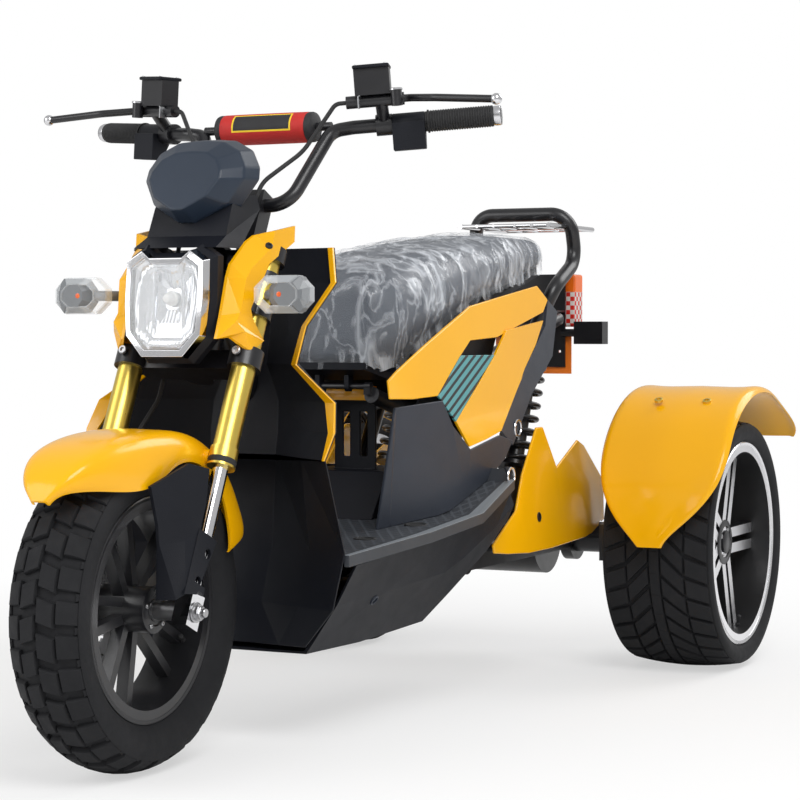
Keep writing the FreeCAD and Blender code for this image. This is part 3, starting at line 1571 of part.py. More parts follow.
# Columns across the front, out from the centre: (side share, depth share)
FRONT_COLUMN_SHARES = [
    (-1.0, 0.0), (-0.66, 0.45), (-0.28, 1.0), (0.28, 1.0), (0.66, 0.45), (1.0, 0.0),
]


def shield_row(up, side, back, columns=FRONT_COLUMN_SHARES):
    height = S.shield_low_height + (S.shield_top_height - S.shield_low_height) * up
    away = S.shield_low_behind + (S.shield_top_behind - S.shield_low_behind) * up
    row = []
    for column, depth in columns:
        row.append(vector((behind(away + S.shield_centre_gap * back * depth),
                           S.shield_half_width * side * column, height)))
    return row


def leg_shield():
    rows = [shield_row(*row) for row in SHIELD_SHARES]
    inner = shifted(rows, V(-float(S.shield_wall), 0, 0))
    hole = spine(S.spine_radius + S.fit_gap)
    shield = less(shaped(shell_solid(rows, inner)), hole)
    node("leg_shield", shield)
    band = []
    for row, share in zip(rows, TRIM_SHARES):
        edge, next_in = row[-1], row[-2]
        inward = (next_in - edge).normalize() * (float(S.trim_width) * share)
        band.append([edge + inward, edge])
    ahead = shifted(band, V(float(S.trim_wall), 0, 0))
    node("leg_shield_trim", less(pair(shaped(shell_solid(ahead, band))), shield))


# How far each row of the rear cover stands back, as shares of its depth, from the top down
COVER_DEPTH_SHARES = [0.5, 0.7, 1.0, 1.2, 1.5, 1.6, 1.9]
COVER_COLUMN_SHARES = [
    (-0.90, 0.16), (-0.60, 0.56), (-0.25, 1.0), (0.25, 1.0), (0.60, 0.56), (0.90, 0.16),
]


def shield_rear_cover():
    """The rider's side of the leg shield, which closes its back over the spine."""
    rows = []
    step, bulge = float(S.cover_step), float(S.cover_depth)
    bases = [shield_row(*row, COVER_COLUMN_SHARES) for row in SHIELD_SHARES[1:]]
    bases.append(apron_row(*APRON_SHARES[1], COVER_COLUMN_SHARES))
    for base, depth in zip(bases, COVER_DEPTH_SHARES):
        row = []
        for point, share in zip(base, (0.0, 0.8, 1.0, 1.0, 0.8, 0.0)):
            row.append(point + V(-step - bulge * share * depth, 0, 0))
        rows.append(row)
    for point in rows[-1]:
        point.z = floor_height(float(FRONT_AXLE_X) - point.x) + float(S.fit_gap)
    inner = shifted(rows, V(-float(S.shield_wall), 0, 0))
    node("shield_rear_cover", shaped(shell_solid(rows, inner)))


# Apron rows: (height share, side share, edge set-back, centre set-back shares), top down
APRON_SHARES = [
    (1.00, 0.912, 0.00, 1.00),
    (0.52, 1.00, 0.10, 0.80),
    (0.22, 0.90, 0.16, 0.62),
    (0.00, 0.62, 0.45, 0.58),
]


def apron_row(up, side, edge_back, centre_back, columns=FRONT_COLUMN_SHARES):
    reach = S.shield_centre_gap * 1.70
    height = S.apron_low_height + (S.shield_low_height - S.apron_low_height) * up
    row = []
    for column, depth in columns:
        away = S.shield_low_behind + reach * (edge_back + (centre_back - edge_back) * depth)
        row.append(vector((behind(away), S.floor_half_width * side * column, height)))
    return row


def front_apron():
    """The lower front, from the leg shield's tips down to the belly."""
    rows = [shield_row(*SHIELD_SHARES[-1])] + [apron_row(*shares) for shares in APRON_SHARES[1:]]
    inner = shifted(rows, V(-float(S.shield_wall), 0, 0))
    node("front_apron", shaped(shell_solid(rows, inner)))


# Floor stations along its length: (length share, side share, rise share)
FLOOR_SHARES = [
    (0.00, 0.98, 0.00), (0.44, 1.00, 0.14), (0.75, 1.00, 0.30), (0.98, 0.97, 0.78), (1.00, 0.90, 1.00),
]


def floor_point(along, side, rise, column):
    length = S.floor_rear_behind - S.floor_front_behind
    return vector((behind(S.floor_front_behind + length * along),
                   S.floor_half_width * side * column,
                   S.floor_front_height + S.floor_rise * rise))


def floor_rows(drop):
    """The floor's grid, its front edge just behind the apron, lowered by drop."""
    rows = []
    for index, (along, side, rise) in enumerate(FLOOR_SHARES):
        row = []
        for column, depth in FRONT_COLUMN_SHARES:
            point = floor_point(along, side, rise, column)
            if index == 0:
                edge, centre = APRON_SHARES[1][2], APRON_SHARES[1][3]
                reach = S.shield_centre_gap * 1.70 * (edge + (centre - edge) * depth)
                point.x = float(behind(S.shield_low_behind + reach + S.shield_wall * 2))
            row.append(point - V(0, 0, drop))
        rows.append(row)
    return rows


def floorboard():
    rows = floor_rows(0)
    board = less(shaped(shell_solid(rows, floor_rows(float(S.floor_wall)))),
                 spine(S.spine_radius + S.fit_gap))
    outer, inner = [], []
    width = V(0, float(S.edge_width), 0)
    rise = V(0, 0, float(S.edge_height) * 0.2)
    drop = V(0, 0, -float(S.edge_height) * 0.8)
    for row in rows:
        edge = row[-1]
        outer.append([edge + rise + width, edge + drop + width])
        inner.append([edge + rise, edge + drop])
    edge = shaped(shell_solid(outer, inner))
    node("floorboard", joined(board, edge, mirrored(edge)))


# Belly stations: (behind share of the floor's length, low side share, height share of the drop)
BELLY_SHARES = [
    (0.08, 0.60, 0.00), (0.30, 0.68, 0.02), (0.64, 0.70, 0.08), (0.72, 0.80, 0.40),
    (0.90, 0.88, 0.74), (0.985, 0.95, 0.99),
]


def belly_pan():
    wall = float(S.panel_wall)
    outer, inner = [], []
    for along, side, up in BELLY_SHARES:
        rise = 0.30 * min(along / 0.75, 1) if along < 0.75 else 0.30 + 2.0 * (along - 0.75)
        top = float(S.floor_front_height + S.floor_rise * min(rise, 0.78) - S.floor_wall * 2)
        low = float(S.belly_low_height)
        low = low + (top - low) * up * 0.8
        x = float(behind(S.floor_front_behind
                         + (S.floor_rear_behind - S.floor_front_behind) * along))
        half = float(S.floor_half_width)
        wide, narrow = half * 0.965, half * side
        middle = (wide + narrow) / 2 + half * 0.04
        mid_z = low + (top - low) * 0.55
        outer.append([V(x, -wide, top), V(x, -middle, mid_z), V(x, -narrow, low), V(x, narrow, low),
                      V(x, middle, mid_z), V(x, wide, top)])
        inner.append([V(x, -wide + wall, top), V(x, -middle + wall, mid_z),
                      V(x, -narrow + wall, low + wall), V(x, narrow - wall, low + wall),
                      V(x, middle - wall, mid_z), V(x, wide - wall, top)])
    notch = rod(LEVEL, (behind((S.rail_front_behind + S.rail_rear_behind) / 2), S.rail_side,
                        S.rail_height), S.frame_radius + S.fit_gap,
                S.rail_rear_behind - S.rail_front_behind, "x")
    node("belly_pan", less(shaped(shell_solid(outer, inner)), notch, mirrored(notch)))


def centre_hump():
    front = S.hump_front_behind
    rear = front + S.hump_length
    base = S.floor_front_height
    top = S.hump_top_height
    wall = S.panel_wall
    outline = [
        (behind(rear), base), (behind(front), base), (behind(front + wall * 4), base + wall * 4),
        (behind(front + S.hump_length * 0.33), top), (behind(rear), top)]
    cover = slab("XZ_Plane", outline, S.hump_half_width * 2)
    hollow = [
        (behind(rear + S.overrun), base - S.overrun), (behind(front + wall * 2), base - S.overrun),
        (behind(front + wall * 6), base + wall * 3),
        (behind(front + S.hump_length * 0.33 + wall), top - wall),
        (behind(rear + S.overrun), top - wall)]
    room = slab("XZ_Plane", hollow, (S.hump_half_width - wall) * 2)
    at = (behind(S.guard_behind), 0, S.hump_top_height + S.guard_height / 2)
    plate = box(LEVEL, at, S.guard_thickness, S.guard_half_width * 2, S.guard_height)
    slots = []
    for side in (1, -1):
        slots.append(box(LEVEL, (at[0], S.guard_half_width * 0.42 * side, at[2]),
                         S.guard_thickness + S.overrun, S.guard_slot_width, S.guard_slot_length))
    cap = box(LEVEL, (at[0], 0, S.hump_top_height + S.guard_height + S.guard_cap_height / 2),
              S.guard_cap_depth, S.guard_half_width * 2, S.guard_cap_height)
    below = shaped(shell_solid(floor_rows(0), floor_rows(float(S.floor_front_height))))
    tunnel = less(cover, room, below)
    node("centre_tunnel", joined(tunnel, less(plate, *slots), cap))


def battery():
    node("battery", box(LEVEL, (behind(S.battery_behind), 0, S.battery_base + S.battery_height / 2),
                        S.battery_length, S.battery_width, S.battery_height))


# Side bodywork corners as (back, out, up) shares of the body's sizes, in pairs along each
# panel: its upper or front edge first, then its lower or rear edge
SIDE_PANEL_SHARES = [
    ((0.04, 0.42, 0.41), (0.02, 0.05, None)),
    ((0.05, 0.42, 0.46), (0.06, 0.17, None)),
    ((0.23, 0.75, 0.48), (0.23, 0.63, None)),
    ((0.27, 0.83, 0.37), (0.28, 0.70, None)),
    ((0.35, 0.92, 0.26), (0.35, 0.77, None)),
    ((0.51, 0.92, 0.31), (0.45, 0.84, None)),
    ((0.595, 0.87, 0.28), (0.54, 0.92, 0.20)),
]
UPPER_STRIP_SHARES = [
    ((0.016, 0.42, 0.573), (0.000, 0.58, 0.497)),
    ((0.060, 0.42, 0.614), (0.100, 0.63, 0.492)),
    ((0.170, 0.42, 0.700), (0.218, 0.67, 0.500)),
    ((0.296, 0.37, 0.788), (0.354, 0.53, 0.662)),
    ((0.452, 0.30, 0.891), (0.424, 0.47, 0.737)),
    ((0.613, 0.27, 0.934), (0.571, 0.47, 0.750)),
    ((0.859, 0.22, 0.997), (0.878, 0.33, 0.871)),
    ((0.906, 0.27, 0.944), (0.915, 0.28, 0.927)),
]
VEE_SHARES = [
    ((0.623, 0.50, 0.783), (0.870, 0.37, 0.831)),
    ((0.544, 0.58, 0.672), (0.803, 0.47, 0.712)),
    ((0.416, 0.72, 0.530), (0.650, 0.70, 0.510)),
    ((0.286, 0.83, 0.386), (0.527, 0.87, 0.328)),
    ((0.343, 0.92, 0.273), (0.435, 0.92, 0.298)),
]
GRILLE_SHARES = [
    ((0.366, 0.51, 0.672), (0.544, 0.56, 0.672)),
    ((0.222, 0.66, 0.500), (0.286, 0.83, 0.386)),
]
INNER_PANEL_SHARES = [
    ((0.44, 0.30, 0.86), (0.60, 0.30, 0.86)),
    ((0.40, 0.12, 0.79), (0.64, 0.12, 0.79)),
    ((0.30, 0.12, 0.66), (0.60, 0.12, 0.66)),
    ((0.18, 0.20, 0.44), (0.44, 0.20, 0.40)),
]
TAIL_FRAME_SHARES = [
    ((0.527, 0.87, 0.328), (0.595, 0.87, 0.258)),
    ((0.714, 0.60, 0.606), (0.752, 0.63, 0.485)),
    ((0.876, 0.40, 0.803), (0.910, 0.47, 0.660)),
    ((0.915, 0.28, 0.932), (0.992, 0.20, 0.876)),
]


def floor_height(back):
    """The height of the floorboard's top this far behind the front axle."""
    length = float(S.floor_rear_behind - S.floor_front_behind)
    share = (back - float(S.floor_front_behind)) / length
    for (a, _, low), (b, _, high) in zip(FLOOR_SHARES, FLOOR_SHARES[1:]):
        if share <= b:
            rise = low + (high - low) * (share - a) / (b - a)
            return float(S.floor_front_height + S.floor_rise * rise)
    return float(S.floor_front_height + S.floor_rise)


def body_point(back, out, up):
    away = S.body_front_behind + S.body_length * back
    if up is None:
        height = floor_height(float(away)) + float(S.fit_gap)
    else:
        height = float(S.body_low_height + S.body_height * up)
    return V(float(behind(away)), float(S.body_inner_side + S.body_flare * out), height)


def body_panel(pairs):
    """A creased side panel of the left side, thick towards the centre."""
    rows = [[body_point(*first), body_point(*second)] for first, second in pairs]
    return shell_solid(rows, shifted(rows, V(0, -float(S.side_wall), 0)))


def trimmed(shape, *others):
    """The largest solid left when the others are cut away."""
    return max(shape.cut(list(others)).Solids, key=lambda solid: solid.Volume)


def side_bodywork():
    doc.recompute()
    floor = [piece.Shape for piece in NODES if piece.Label == "floorboard"][0]
    side = trimmed(body_panel(SIDE_PANEL_SHARES), floor)
    upper = body_panel(UPPER_STRIP_SHARES)
    vee = trimmed(body_panel(VEE_SHARES), upper, side)
    grille = trimmed(body_panel(GRILLE_SHARES), upper, side, vee)
    tail = trimmed(body_panel(TAIL_FRAME_SHARES), upper, side, vee)
    backing = trimmed(body_panel(INNER_PANEL_SHARES), upper, side, vee, grille, tail)
    for name, shape in (("side_panels", side), ("upper_side_strips", upper),
                        ("vee_panels", vee), ("side_grilles", grille),
                        ("tail_side_frames", tail), ("side_inner_panels", backing)):
        node(name, pair(shaped(shape)))


def seat_ring(along, low, top, half):
    """The cushion's outline across at one station, from the middle of its underside round."""
    x = float(behind(S.seat_front_behind + S.seat_length * along))
    base = float(S.seat_low_height)
    rise = float(S.seat_rise)
    wide = float(S.seat_half_width) * half
    low, top = base + rise * low, base + rise * top
    crown = (top - low) * 0.18
    half_ring = [(0.45, low), (0.86, low), (1.0, low + crown), (0.94, top - crown), (0.5, top)]
    left = [V(x, wide * out, z) for out, z in half_ring]
    right = [V(x, -wide * out, z) for out, z in reversed(half_ring)]
    return [V(x, 0, low)] + left + [V(x, 0, top + crown * 0.1)] + right


# Cushion stations: (length share, low share, top share, half-width share)
SEAT_SHARES = [
    (0.00, 0.10, 0.62, 0.56), (0.06, 0.03, 0.72, 0.80), (0.24, 0.24, 0.84, 0.96),
    (0.47, 0.50, 0.92, 1.00), (0.73, 0.62, 1.00, 0.92), (0.97, 0.76, 1.00, 0.78),
    (1.00, 0.80, 0.95, 0.70),
]


def pan_height(back):
    """The height of the seat pan's underside this far behind the front axle."""
    share = (back - float(S.seat_front_behind)) / float(S.seat_length)
    for (a, low, _, _), (b, high, _, _) in zip(SEAT_SHARES, SEAT_SHARES[1:]):
        if share <= b:
            rise = low + (high - low) * (share - a) / (b - a)
            break
    return float(S.seat_low_height + S.seat_rise * rise + S.fit_gap * 2 - S.seat_pan_thickness)


def seat():
    gap = float(S.fit_gap)
    sections = []
    rows, under = [], []
    for station in SEAT_SHARES:
        curve = Part.BSplineCurve()
        curve.interpolate(seat_ring(*station), PeriodicFlag=True)
        sections.append(Part.Wire([curve.toShape()]))
        along, low, _, half = station
        x = float(behind(S.seat_front_behind + S.seat_length * along))
        z = float(S.seat_low_height) + float(S.seat_rise) * low + gap * 2
        wide = float(S.seat_half_width) * half * 0.86
        rows.append([V(x, -wide, z), V(x, wide, z)])
        under.append([V(x, -wide * 2, z + gap), V(x, wide * 2, z + gap)])
    trim = shell_solid(under, shifted(under, V(0, 0, -float(S.tub_half_width))))
    whole = Part.makeLoft(sections, True, True)
    node("seat_cushion", shaped(trimmed(whole, trim)))
    pan = shaped(shell_solid(rows, shifted(rows, V(0, 0, -float(S.seat_pan_thickness)))))
    knuckle_side = S.hinge_half_length * 0.7
    hinge = hinge_height()
    eye_height = S.seat_low_height - hinge + S.hinge_pin_radius
    eye = joined(
        box(LEVEL, (behind(S.seat_hinge_behind), knuckle_side,
                    hinge + eye_height / 2), S.hinge_pin_radius * 3.6,
            S.seat_pan_thickness * 0.7, eye_height),
        rod(LEVEL, (behind(S.seat_hinge_behind), knuckle_side, hinge),
            S.hinge_pin_radius * 1.8, S.seat_pan_thickness * 0.7, "y"))
    bore = rod(LEVEL, (behind(S.seat_hinge_behind), 0, hinge),
               S.hinge_pin_radius + S.running_gap, S.hinge_half_length * 2 + S.overrun, "y")
    node("seat_pan", less(joined(pan, eye, mirrored(eye)), bore))


def seat_tub():
    wall = float(S.tub_wall)
    gap = float(S.fit_gap)
    front, rear = float(S.tub_front_behind), float(S.kick_behind - S.tub_rear_gap)
    knees = [front]
    for along, _, _, _ in SEAT_SHARES:
        at = float(S.seat_front_behind + S.seat_length * along)
        if front < at < rear:
            knees.append(at)
    knees.append(rear)
    base = float(tub_base())
    half = float(S.tub_half_width)

    def ring(back, floor, side, spare):
        x = float(behind(back))
        top = pan_height(back) - gap + spare
        return [V(x, -side, floor), V(x, side, floor), V(x, side, top), V(x, -side, top)]

    outside = block_solid([ring(back, base, half, 0) for back in knees])
    inner_knees = [front + wall] + knees[1:-1] + [rear - wall]
    room = block_solid([ring(back, base + wall, half - wall, float(S.overrun) * 4)
                        for back in inner_knees])
    node("seat_tub", shaped(outside.cut(room)))


# Rear axle and suspension
def rear_axle(cover):
    tube_piece = rod(REAR_WHEEL, (0, 0, 0), S.housing_radius, S.housing_half_length * 2, "y")
    reach = S.rear_wheel_side + S.rear_hub_half_length - S.rear_spoke_depth - S.fit_gap * 2
    shaft = rod(REAR_WHEEL, (0, 0, 0), S.rear_axle_radius, reach * 2, "y")
    motor = rod(REAR_WHEEL, (0, 0, 0), S.motor_radius, S.motor_half_width * 2, "y")
    node("drive_axle", joined(tube_piece, shaft, motor))
    arm_outline = [
        (REAR_AXLE_X, REAR_AXLE_Z - S.arm_height / 2),
        (behind(S.rail_rear_behind), S.rail_height - S.arm_height / 2),
        (behind(S.rail_rear_behind), S.rail_height + S.arm_height / 2),
        (REAR_AXLE_X, REAR_AXLE_Z + S.arm_height / 2)]
    beam = slab("XZ_Plane", arm_outline, S.arm_width, LEVEL, (0, S.arm_side, 0))
    front_eye = rod(LEVEL, (behind(S.rail_rear_behind), S.arm_side, S.rail_height),
                    S.arm_eye_radius, S.arm_width, "y")
    rear_eye = rod(REAR_WHEEL, (0, S.arm_side, 0), S.arm_axle_eye_radius, S.arm_width, "y")
    tab_top = S.shock_low_height + S.shock_eye_radius
    tab_base = REAR_AXLE_Z
    tab = box(LEVEL, (behind(S.shock_low_behind), S.arm_side + S.shock_eye_radius * 0.45,
                      (tab_top + tab_base) / 2),
              S.shock_eye_radius * 2.4, S.panel_wall * 2, tab_top - tab_base)
    reach = S.cover_side + S.cover_bulge * 2 - S.arm_side
    bosses = []
    for share in (0.12, 0.41):
        boss = rod(LEVEL, (behind(S.cover_front_behind + S.cover_length * share),
                           S.arm_side + reach / 2, REAR_AXLE_Z + S.cover_boss_radius * 2),
                   S.cover_boss_radius, reach, "y")
        doc.recompute()
        bosses.append(shaped(trimmed(boss.Shape, cover)))
    arm = joined(beam, front_eye, rear_eye, tab, *bosses)
    cuts = [
        rod(LEVEL, (behind(S.rail_rear_behind), S.arm_side, S.rail_height),
            S.frame_radius + S.running_gap, S.arm_width + S.overrun, "y"),
        rod(REAR_WHEEL, (0, S.arm_side, 0), S.housing_radius + S.running_gap,
            S.arm_width + S.overrun, "y"),
        rod(LEVEL, (behind(S.shock_low_behind), S.arm_side, S.shock_low_height),
            S.shock_pin_radius, S.arm_width * 2, "y"),
    ]
    node("trailing_arms", pair(less(arm, *cuts)))


def shocks():
    """A damper between two eyes, and the coil around it."""
    low = vector((behind(S.shock_low_behind), S.shock_side, S.shock_low_height))
    top = vector((behind(S.shock_top_behind), S.shock_side, shock_top_height()))
    axis = (top - low).normalize()
    length = (top - low).Length
    eye, width = float(S.shock_eye_radius), float(S.shock_eye_width)
    body_radius, coil_radius = float(S.shock_body_radius), float(S.shock_spring_radius)
    wire, collar = float(S.shock_wire_radius), float(S.shock_collar)
    half = V(0, width / 2, 0)
    low_eye = Part.makeCylinder(eye, width, low - half, TRUE_Y)
    top_eye = Part.makeCylinder(eye, width, top - half, TRUE_Y)
    body = Part.makeCylinder(body_radius, length, low, axis)
    start, end = length * 0.30, length - eye * 1.4
    cups = [Part.makeCylinder(coil_radius + wire, collar, low + axis * start, axis),
            Part.makeCylinder(coil_radius + wire, collar, low + axis * (end - collar), axis)]
    damper = body.fuse([low_eye, top_eye] + cups)
    pin = float(S.shock_pin_radius)
    pin_reach = width * 2
    top_bore = Part.makeCylinder(pin + float(S.panel_wall + S.running_gap), pin_reach,
                                 top - V(0, pin_reach / 2, 0), TRUE_Y)
    damper = damper.cut(top_bore)
    pin_end = float(S.arm_side + S.arm_width / 2) - low.y
    low_pin = Part.makeCylinder(pin - float(S.running_gap), pin_end, low, TRUE_Y)
    damper = shaped(damper.fuse(low_pin).removeSplitter())
    free = end - start - 2 * collar
    gap = float(S.fit_gap)
    turns = float(S.shock_turns)
    rise = free - 2 * (wire + gap)
    helix = Part.makeHelix(rise / turns, rise, coil_radius)
    ring = Part.Wire(Part.makeCircle(wire, V(coil_radius, 0, 0), TRUE_Y))
    coil = Part.Wire(helix.Edges).makePipeShell([ring], True, True)
    coil.Placement = FreeCAD.Placement(low + axis * (start + collar + wire + gap),
                                       FreeCAD.Rotation(TRUE_Z, axis))
    coil = shaped(coil)
    node("rear_shocks", together(damper, mirrored(damper), coil, mirrored(coil)))


def rear_calipers():
    reach = S.rear_disc_radius
    middle = (S.rear_hub_radius + S.panel_wall * 2 + reach + S.panel_wall * 4) / 2
    block = box(REAR_WHEEL, (middle + S.panel_wall * 2, S.rear_disc_side, 0), S.caliper_length,
                S.caliper_width, S.caliper_height)
    slot = rod(REAR_WHEEL, (0, S.rear_disc_side, 0), reach + S.overrun * 2,
               S.rear_disc_thickness + S.overrun * 2, "y")
    plate_side = S.housing_half_length - S.panel_wall * 2
    plate = box(REAR_WHEEL, (middle / 2, plate_side, 0), middle, S.panel_wall * 2,
                S.caliper_height * 0.6)
    bore = rod(REAR_WHEEL, (0, plate_side, 0), S.housing_radius + S.running_gap,
               S.panel_wall * 4, "y")
    hub_room = rod(REAR_WHEEL, (0, S.rear_disc_side + S.caliper_width / 2, 0),
                   S.rear_hub_radius + S.panel_wall * 2, S.caliper_width, "y")
    node("rear_brake_calipers", pair(less(joined(block, plate), slot, bore, hub_room)))


COVER_SHARES = [
    ((0.00, 0.2, 0.11), (0.01, 0.2, 0.04)),
    ((0.16, 0.5, 0.35), (0.09, 0.6, 0.02)),
    ((0.215, 0.5, 0.64), (0.23, 1.0, 0.0)),
    ((0.358, 0.2, 1.0), (0.376, 1.0, 0.0)),
    ((0.41, 0.2, 1.0), (0.43, 1.0, 0.0)),
    ((0.52, 0.4, 0.65), (0.54, 1.0, 0.01)),
    ((0.731, 0.2, 0.86), (0.735, 1.0, 0.03)),
    ((0.789, 0.2, 0.81), (0.806, 0.9, 0.05)),
    ((1.0, 0.0, 0.48), (1.0, 0.1, 0.13)),
]


def axle_covers():
    rows = []
    for pair_of_points in COVER_SHARES:
        row = []
        for back, out, up in pair_of_points:
            row.append(vector((behind(S.cover_front_behind + S.cover_length * back),
                               S.cover_side + S.cover_bulge * out,
                               S.cover_base_height + S.cover_height * up)))
        rows.append(row)
    inner = shifted(rows, V(0, -float(S.side_wall), 0))
    cover = shell_solid(rows, inner)
    room = rod(REAR_WHEEL, (0, S.cover_side, 0), S.housing_radius + S.overrun,
               S.housing_half_length / 2, "y")
    node("axle_covers", pair(less(shaped(cover), room)))
    return cover


# Rear fender stations: (angle from straight ahead, radius share, inner and outer side shares, lip)
REAR_FENDER_SHARES = [
    (2, 0.907, 0.37, 0.56, 0.25),
    (12, 0.907, 0.20, 0.73, 0.35),
    (28, 0.917, 0.04, 0.95, 0.60),
    (50, 0.967, 0.00, 1.00, 0.90),
    (80, 1.000, 0.00, 1.00, 1.00),
    (100, 1.007, 0.00, 1.00, 1.00),
    (122, 1.020, 0.02, 1.00, 0.90),
    (141, None, 0.06, 0.97, 0.60),
]


def rear_fenders():
    inner_side = float(S.rear_fender_inner_side)
    span = float(S.rear_fender_outer_side) - inner_side
    x0, z0 = float(REAR_AXLE_X), float(REAR_AXLE_Z)
    wall = float(S.rear_fender_wall)
    outer, inner = [], []
    for angle, share, start, stop, lip_share in REAR_FENDER_SHARES:
        turn = math.radians(angle)
        radius = float(S.rear_fender_radius) * (share or 1)
        if share is None:
            radius = float(S.rear_reach) / -math.cos(turn)
        lip = float(S.rear_fender_lip) * lip_share
        near, far = inner_side + span * start, inner_side + span * stop
        for grid, inset in ((outer, 0), (inner, wall)):
            row = []
            middle = (near + far) / 2
            for y, r in ((near + inset, radius - lip * 0.7),
                         (near + lip * 0.5 + inset, radius - lip * 0.12 - inset),
                         (near + lip * 2 + inset, radius - lip * 0.01 - inset),
                         (middle, radius - inset), (far - lip * 2, radius - lip * 0.01 - inset),
                         (far - lip * 0.5 - inset * 0.5, radius - lip * 0.12 - inset),
                         (far - inset, radius - lip * 0.7)):
                row.append(V(x0 + r * math.cos(turn), y, z0 + r * math.sin(turn)))
            grid.append(row)
    fender = smooth_shell(outer, inner)
    node("rear_fenders", pair(shaped(fender)))
    return fender


def fender_struts(fender):
    """Bent stays from the axle housing, round the disc and tyre, up to each fender."""
    stays = []
    x0, z0 = float(REAR_AXLE_X), float(REAR_AXLE_Z)
    inside = float(S.housing_half_length) - 2 * float(S.strut_radius)
    beside = float(S.rear_wheel_side - S.rear_tyre_half_width) - 2 * float(S.strut_radius)
    above = float(S.rear_fender_inner_side) + 3 * float(S.strut_radius)
    disc = float(S.rear_disc_radius)
    tyre_top = float(S.rear_tyre_radius)
    for angle in (70, 112):
        turn = math.radians(angle)
        under = float(S.rear_fender_radius)
        route = []
        step = float(S.strut_radius)
        for r, y in ((float(S.housing_radius) * 0.9, inside), (disc + 3 * step, inside),
                     (disc + 9 * step, beside), (tyre_top + 1.2 * step, beside),
                     (tyre_top + 3.7 * step, above), (under, above)):
            route.append(V(x0 + r * math.cos(turn), y, z0 + r * math.sin(turn)))
        stay = tube_shape(route, float(S.strut_radius), float(S.strut_bend))
        stays.append(shaped(trimmed(stay, fender)))
    housing = rod(REAR_WHEEL, (0, inside, 0), S.housing_radius + S.running_gap,
                  S.strut_radius * 4, "y")
    node("fender_struts", pair(less(joined(*stays), housing)))


# Tail
def tail():
    waist = (behind(S.hoop_waist_behind), S.hoop_side, S.hoop_waist_height)
    back = (behind(S.hoop_back_behind), S.hoop_side, S.hoop_back_height)
    top = (behind(S.hoop_top_behind), S.hoop_side, S.hoop_top_height)
    rail_top = tail_rail_height(S.hoop_foot_behind) + S.frame_radius * 0.45
    foot = (behind(S.hoop_foot_behind), S.kick_side, rail_top)
    half = [foot, waist, back, top]
    route = [opposite(point) for point in half] + list(reversed(half))
    hoop = tube(route, S.hoop_radius, S.hoop_bend)
    rail = tube([
        (behind(S.kick_behind), S.kick_side, S.kick_height),
        (behind(S.tail_behind), S.kick_side, S.tail_height)],
        S.frame_radius + S.fit_gap, S.frame_bend)
    node("grab_hoop", less(hoop, rail, mirrored(rail)))
    middle = (behind(S.rack_front_behind + S.rack_length / 2), 0, S.hoop_top_height - S.rack_drop)
    long_rods = []
    for share, radius in ((1, S.rack_rod_radius), (0.62, S.rack_inner_radius),
                          (0.24, S.rack_inner_radius)):
        side_rod = rod(LEVEL, (middle[0], S.rack_half_width * share, middle[2]), radius,
                       S.rack_length + S.rack_rod_radius * 2, "x")
        long_rods += [side_rod, mirrored(side_rod)]
    ends = []
    for step in (-0.5, 0, 0.5):
        ends.append(rod(LEVEL, (middle[0] + S.rack_length * step, 0, middle[2]),
                        S.rack_cross_radius, S.rack_half_width * 2, "y"))
    node("rear_rack", less(joined(*(long_rods + ends)), hoop))
    plate_x = behind(S.tail_lamp_behind - S.panel_wall / 2 - S.fit_gap)
    bracket_low = S.plate_base + S.plate_height * 0.15
    bracket_top = S.tail_lamp_base + S.tail_lamp_height
    upright = box(LEVEL, (plate_x, 0, (bracket_low + bracket_top) / 2), S.panel_wall,
                  S.kick_side * 2, bracket_top - bracket_low)
    shelf_length = S.tail_lamp_behind - S.tail_behind
    shelf_z = S.tail_height + S.frame_radius + S.panel_wall / 2
    shelf = box(LEVEL, (behind(S.tail_behind + shelf_length / 2 - S.panel_wall / 2), 0, shelf_z),
                shelf_length, S.kick_side * 2, S.panel_wall)
    arm = rod(LEVEL, (plate_x + S.signal_stalk_radius,
                      S.kick_side + (S.rear_signal_side - S.kick_side) / 2 - S.overrun,
                      S.rear_signal_height), S.signal_stalk_radius,
              S.rear_signal_side - S.kick_side + S.overrun * 2, "y")
    lamp = box(LEVEL, (behind(S.tail_lamp_behind + S.tail_lamp_depth / 2), 0,
                       S.tail_lamp_base + S.tail_lamp_height / 2), S.tail_lamp_depth,
               S.tail_lamp_half_width * 2, S.tail_lamp_height)
    node("tail_lamp", lamp)
    plate = box(LEVEL, (plate_x - S.panel_wall / 2 - S.fit_gap - S.plate_thickness / 2, 0,
                        S.plate_base + S.plate_height / 2), S.plate_thickness,
                S.plate_half_width * 2, S.plate_height)
    hole = rod(LEVEL, (plate_x, S.plate_hole_side, S.plate_base + S.plate_height / 2),
               S.plate_hole_radius, S.plate_behind - S.tail_behind, "x")
    holes = (hole, mirrored(hole))
    node("number_plate", less(plate, *holes))
    signal = box(LEVEL, (plate_x + S.signal_stalk_radius,
                         S.rear_signal_side + S.rear_signal_length / 2,
                         S.rear_signal_height), S.signal_depth * 0.75, S.rear_signal_length,
                 S.signal_face_height * 0.85)
    bracket = joined(upright, shelf, arm, mirrored(arm), signal, mirrored(signal))
    node("tail_bracket", less(bracket, *holes))


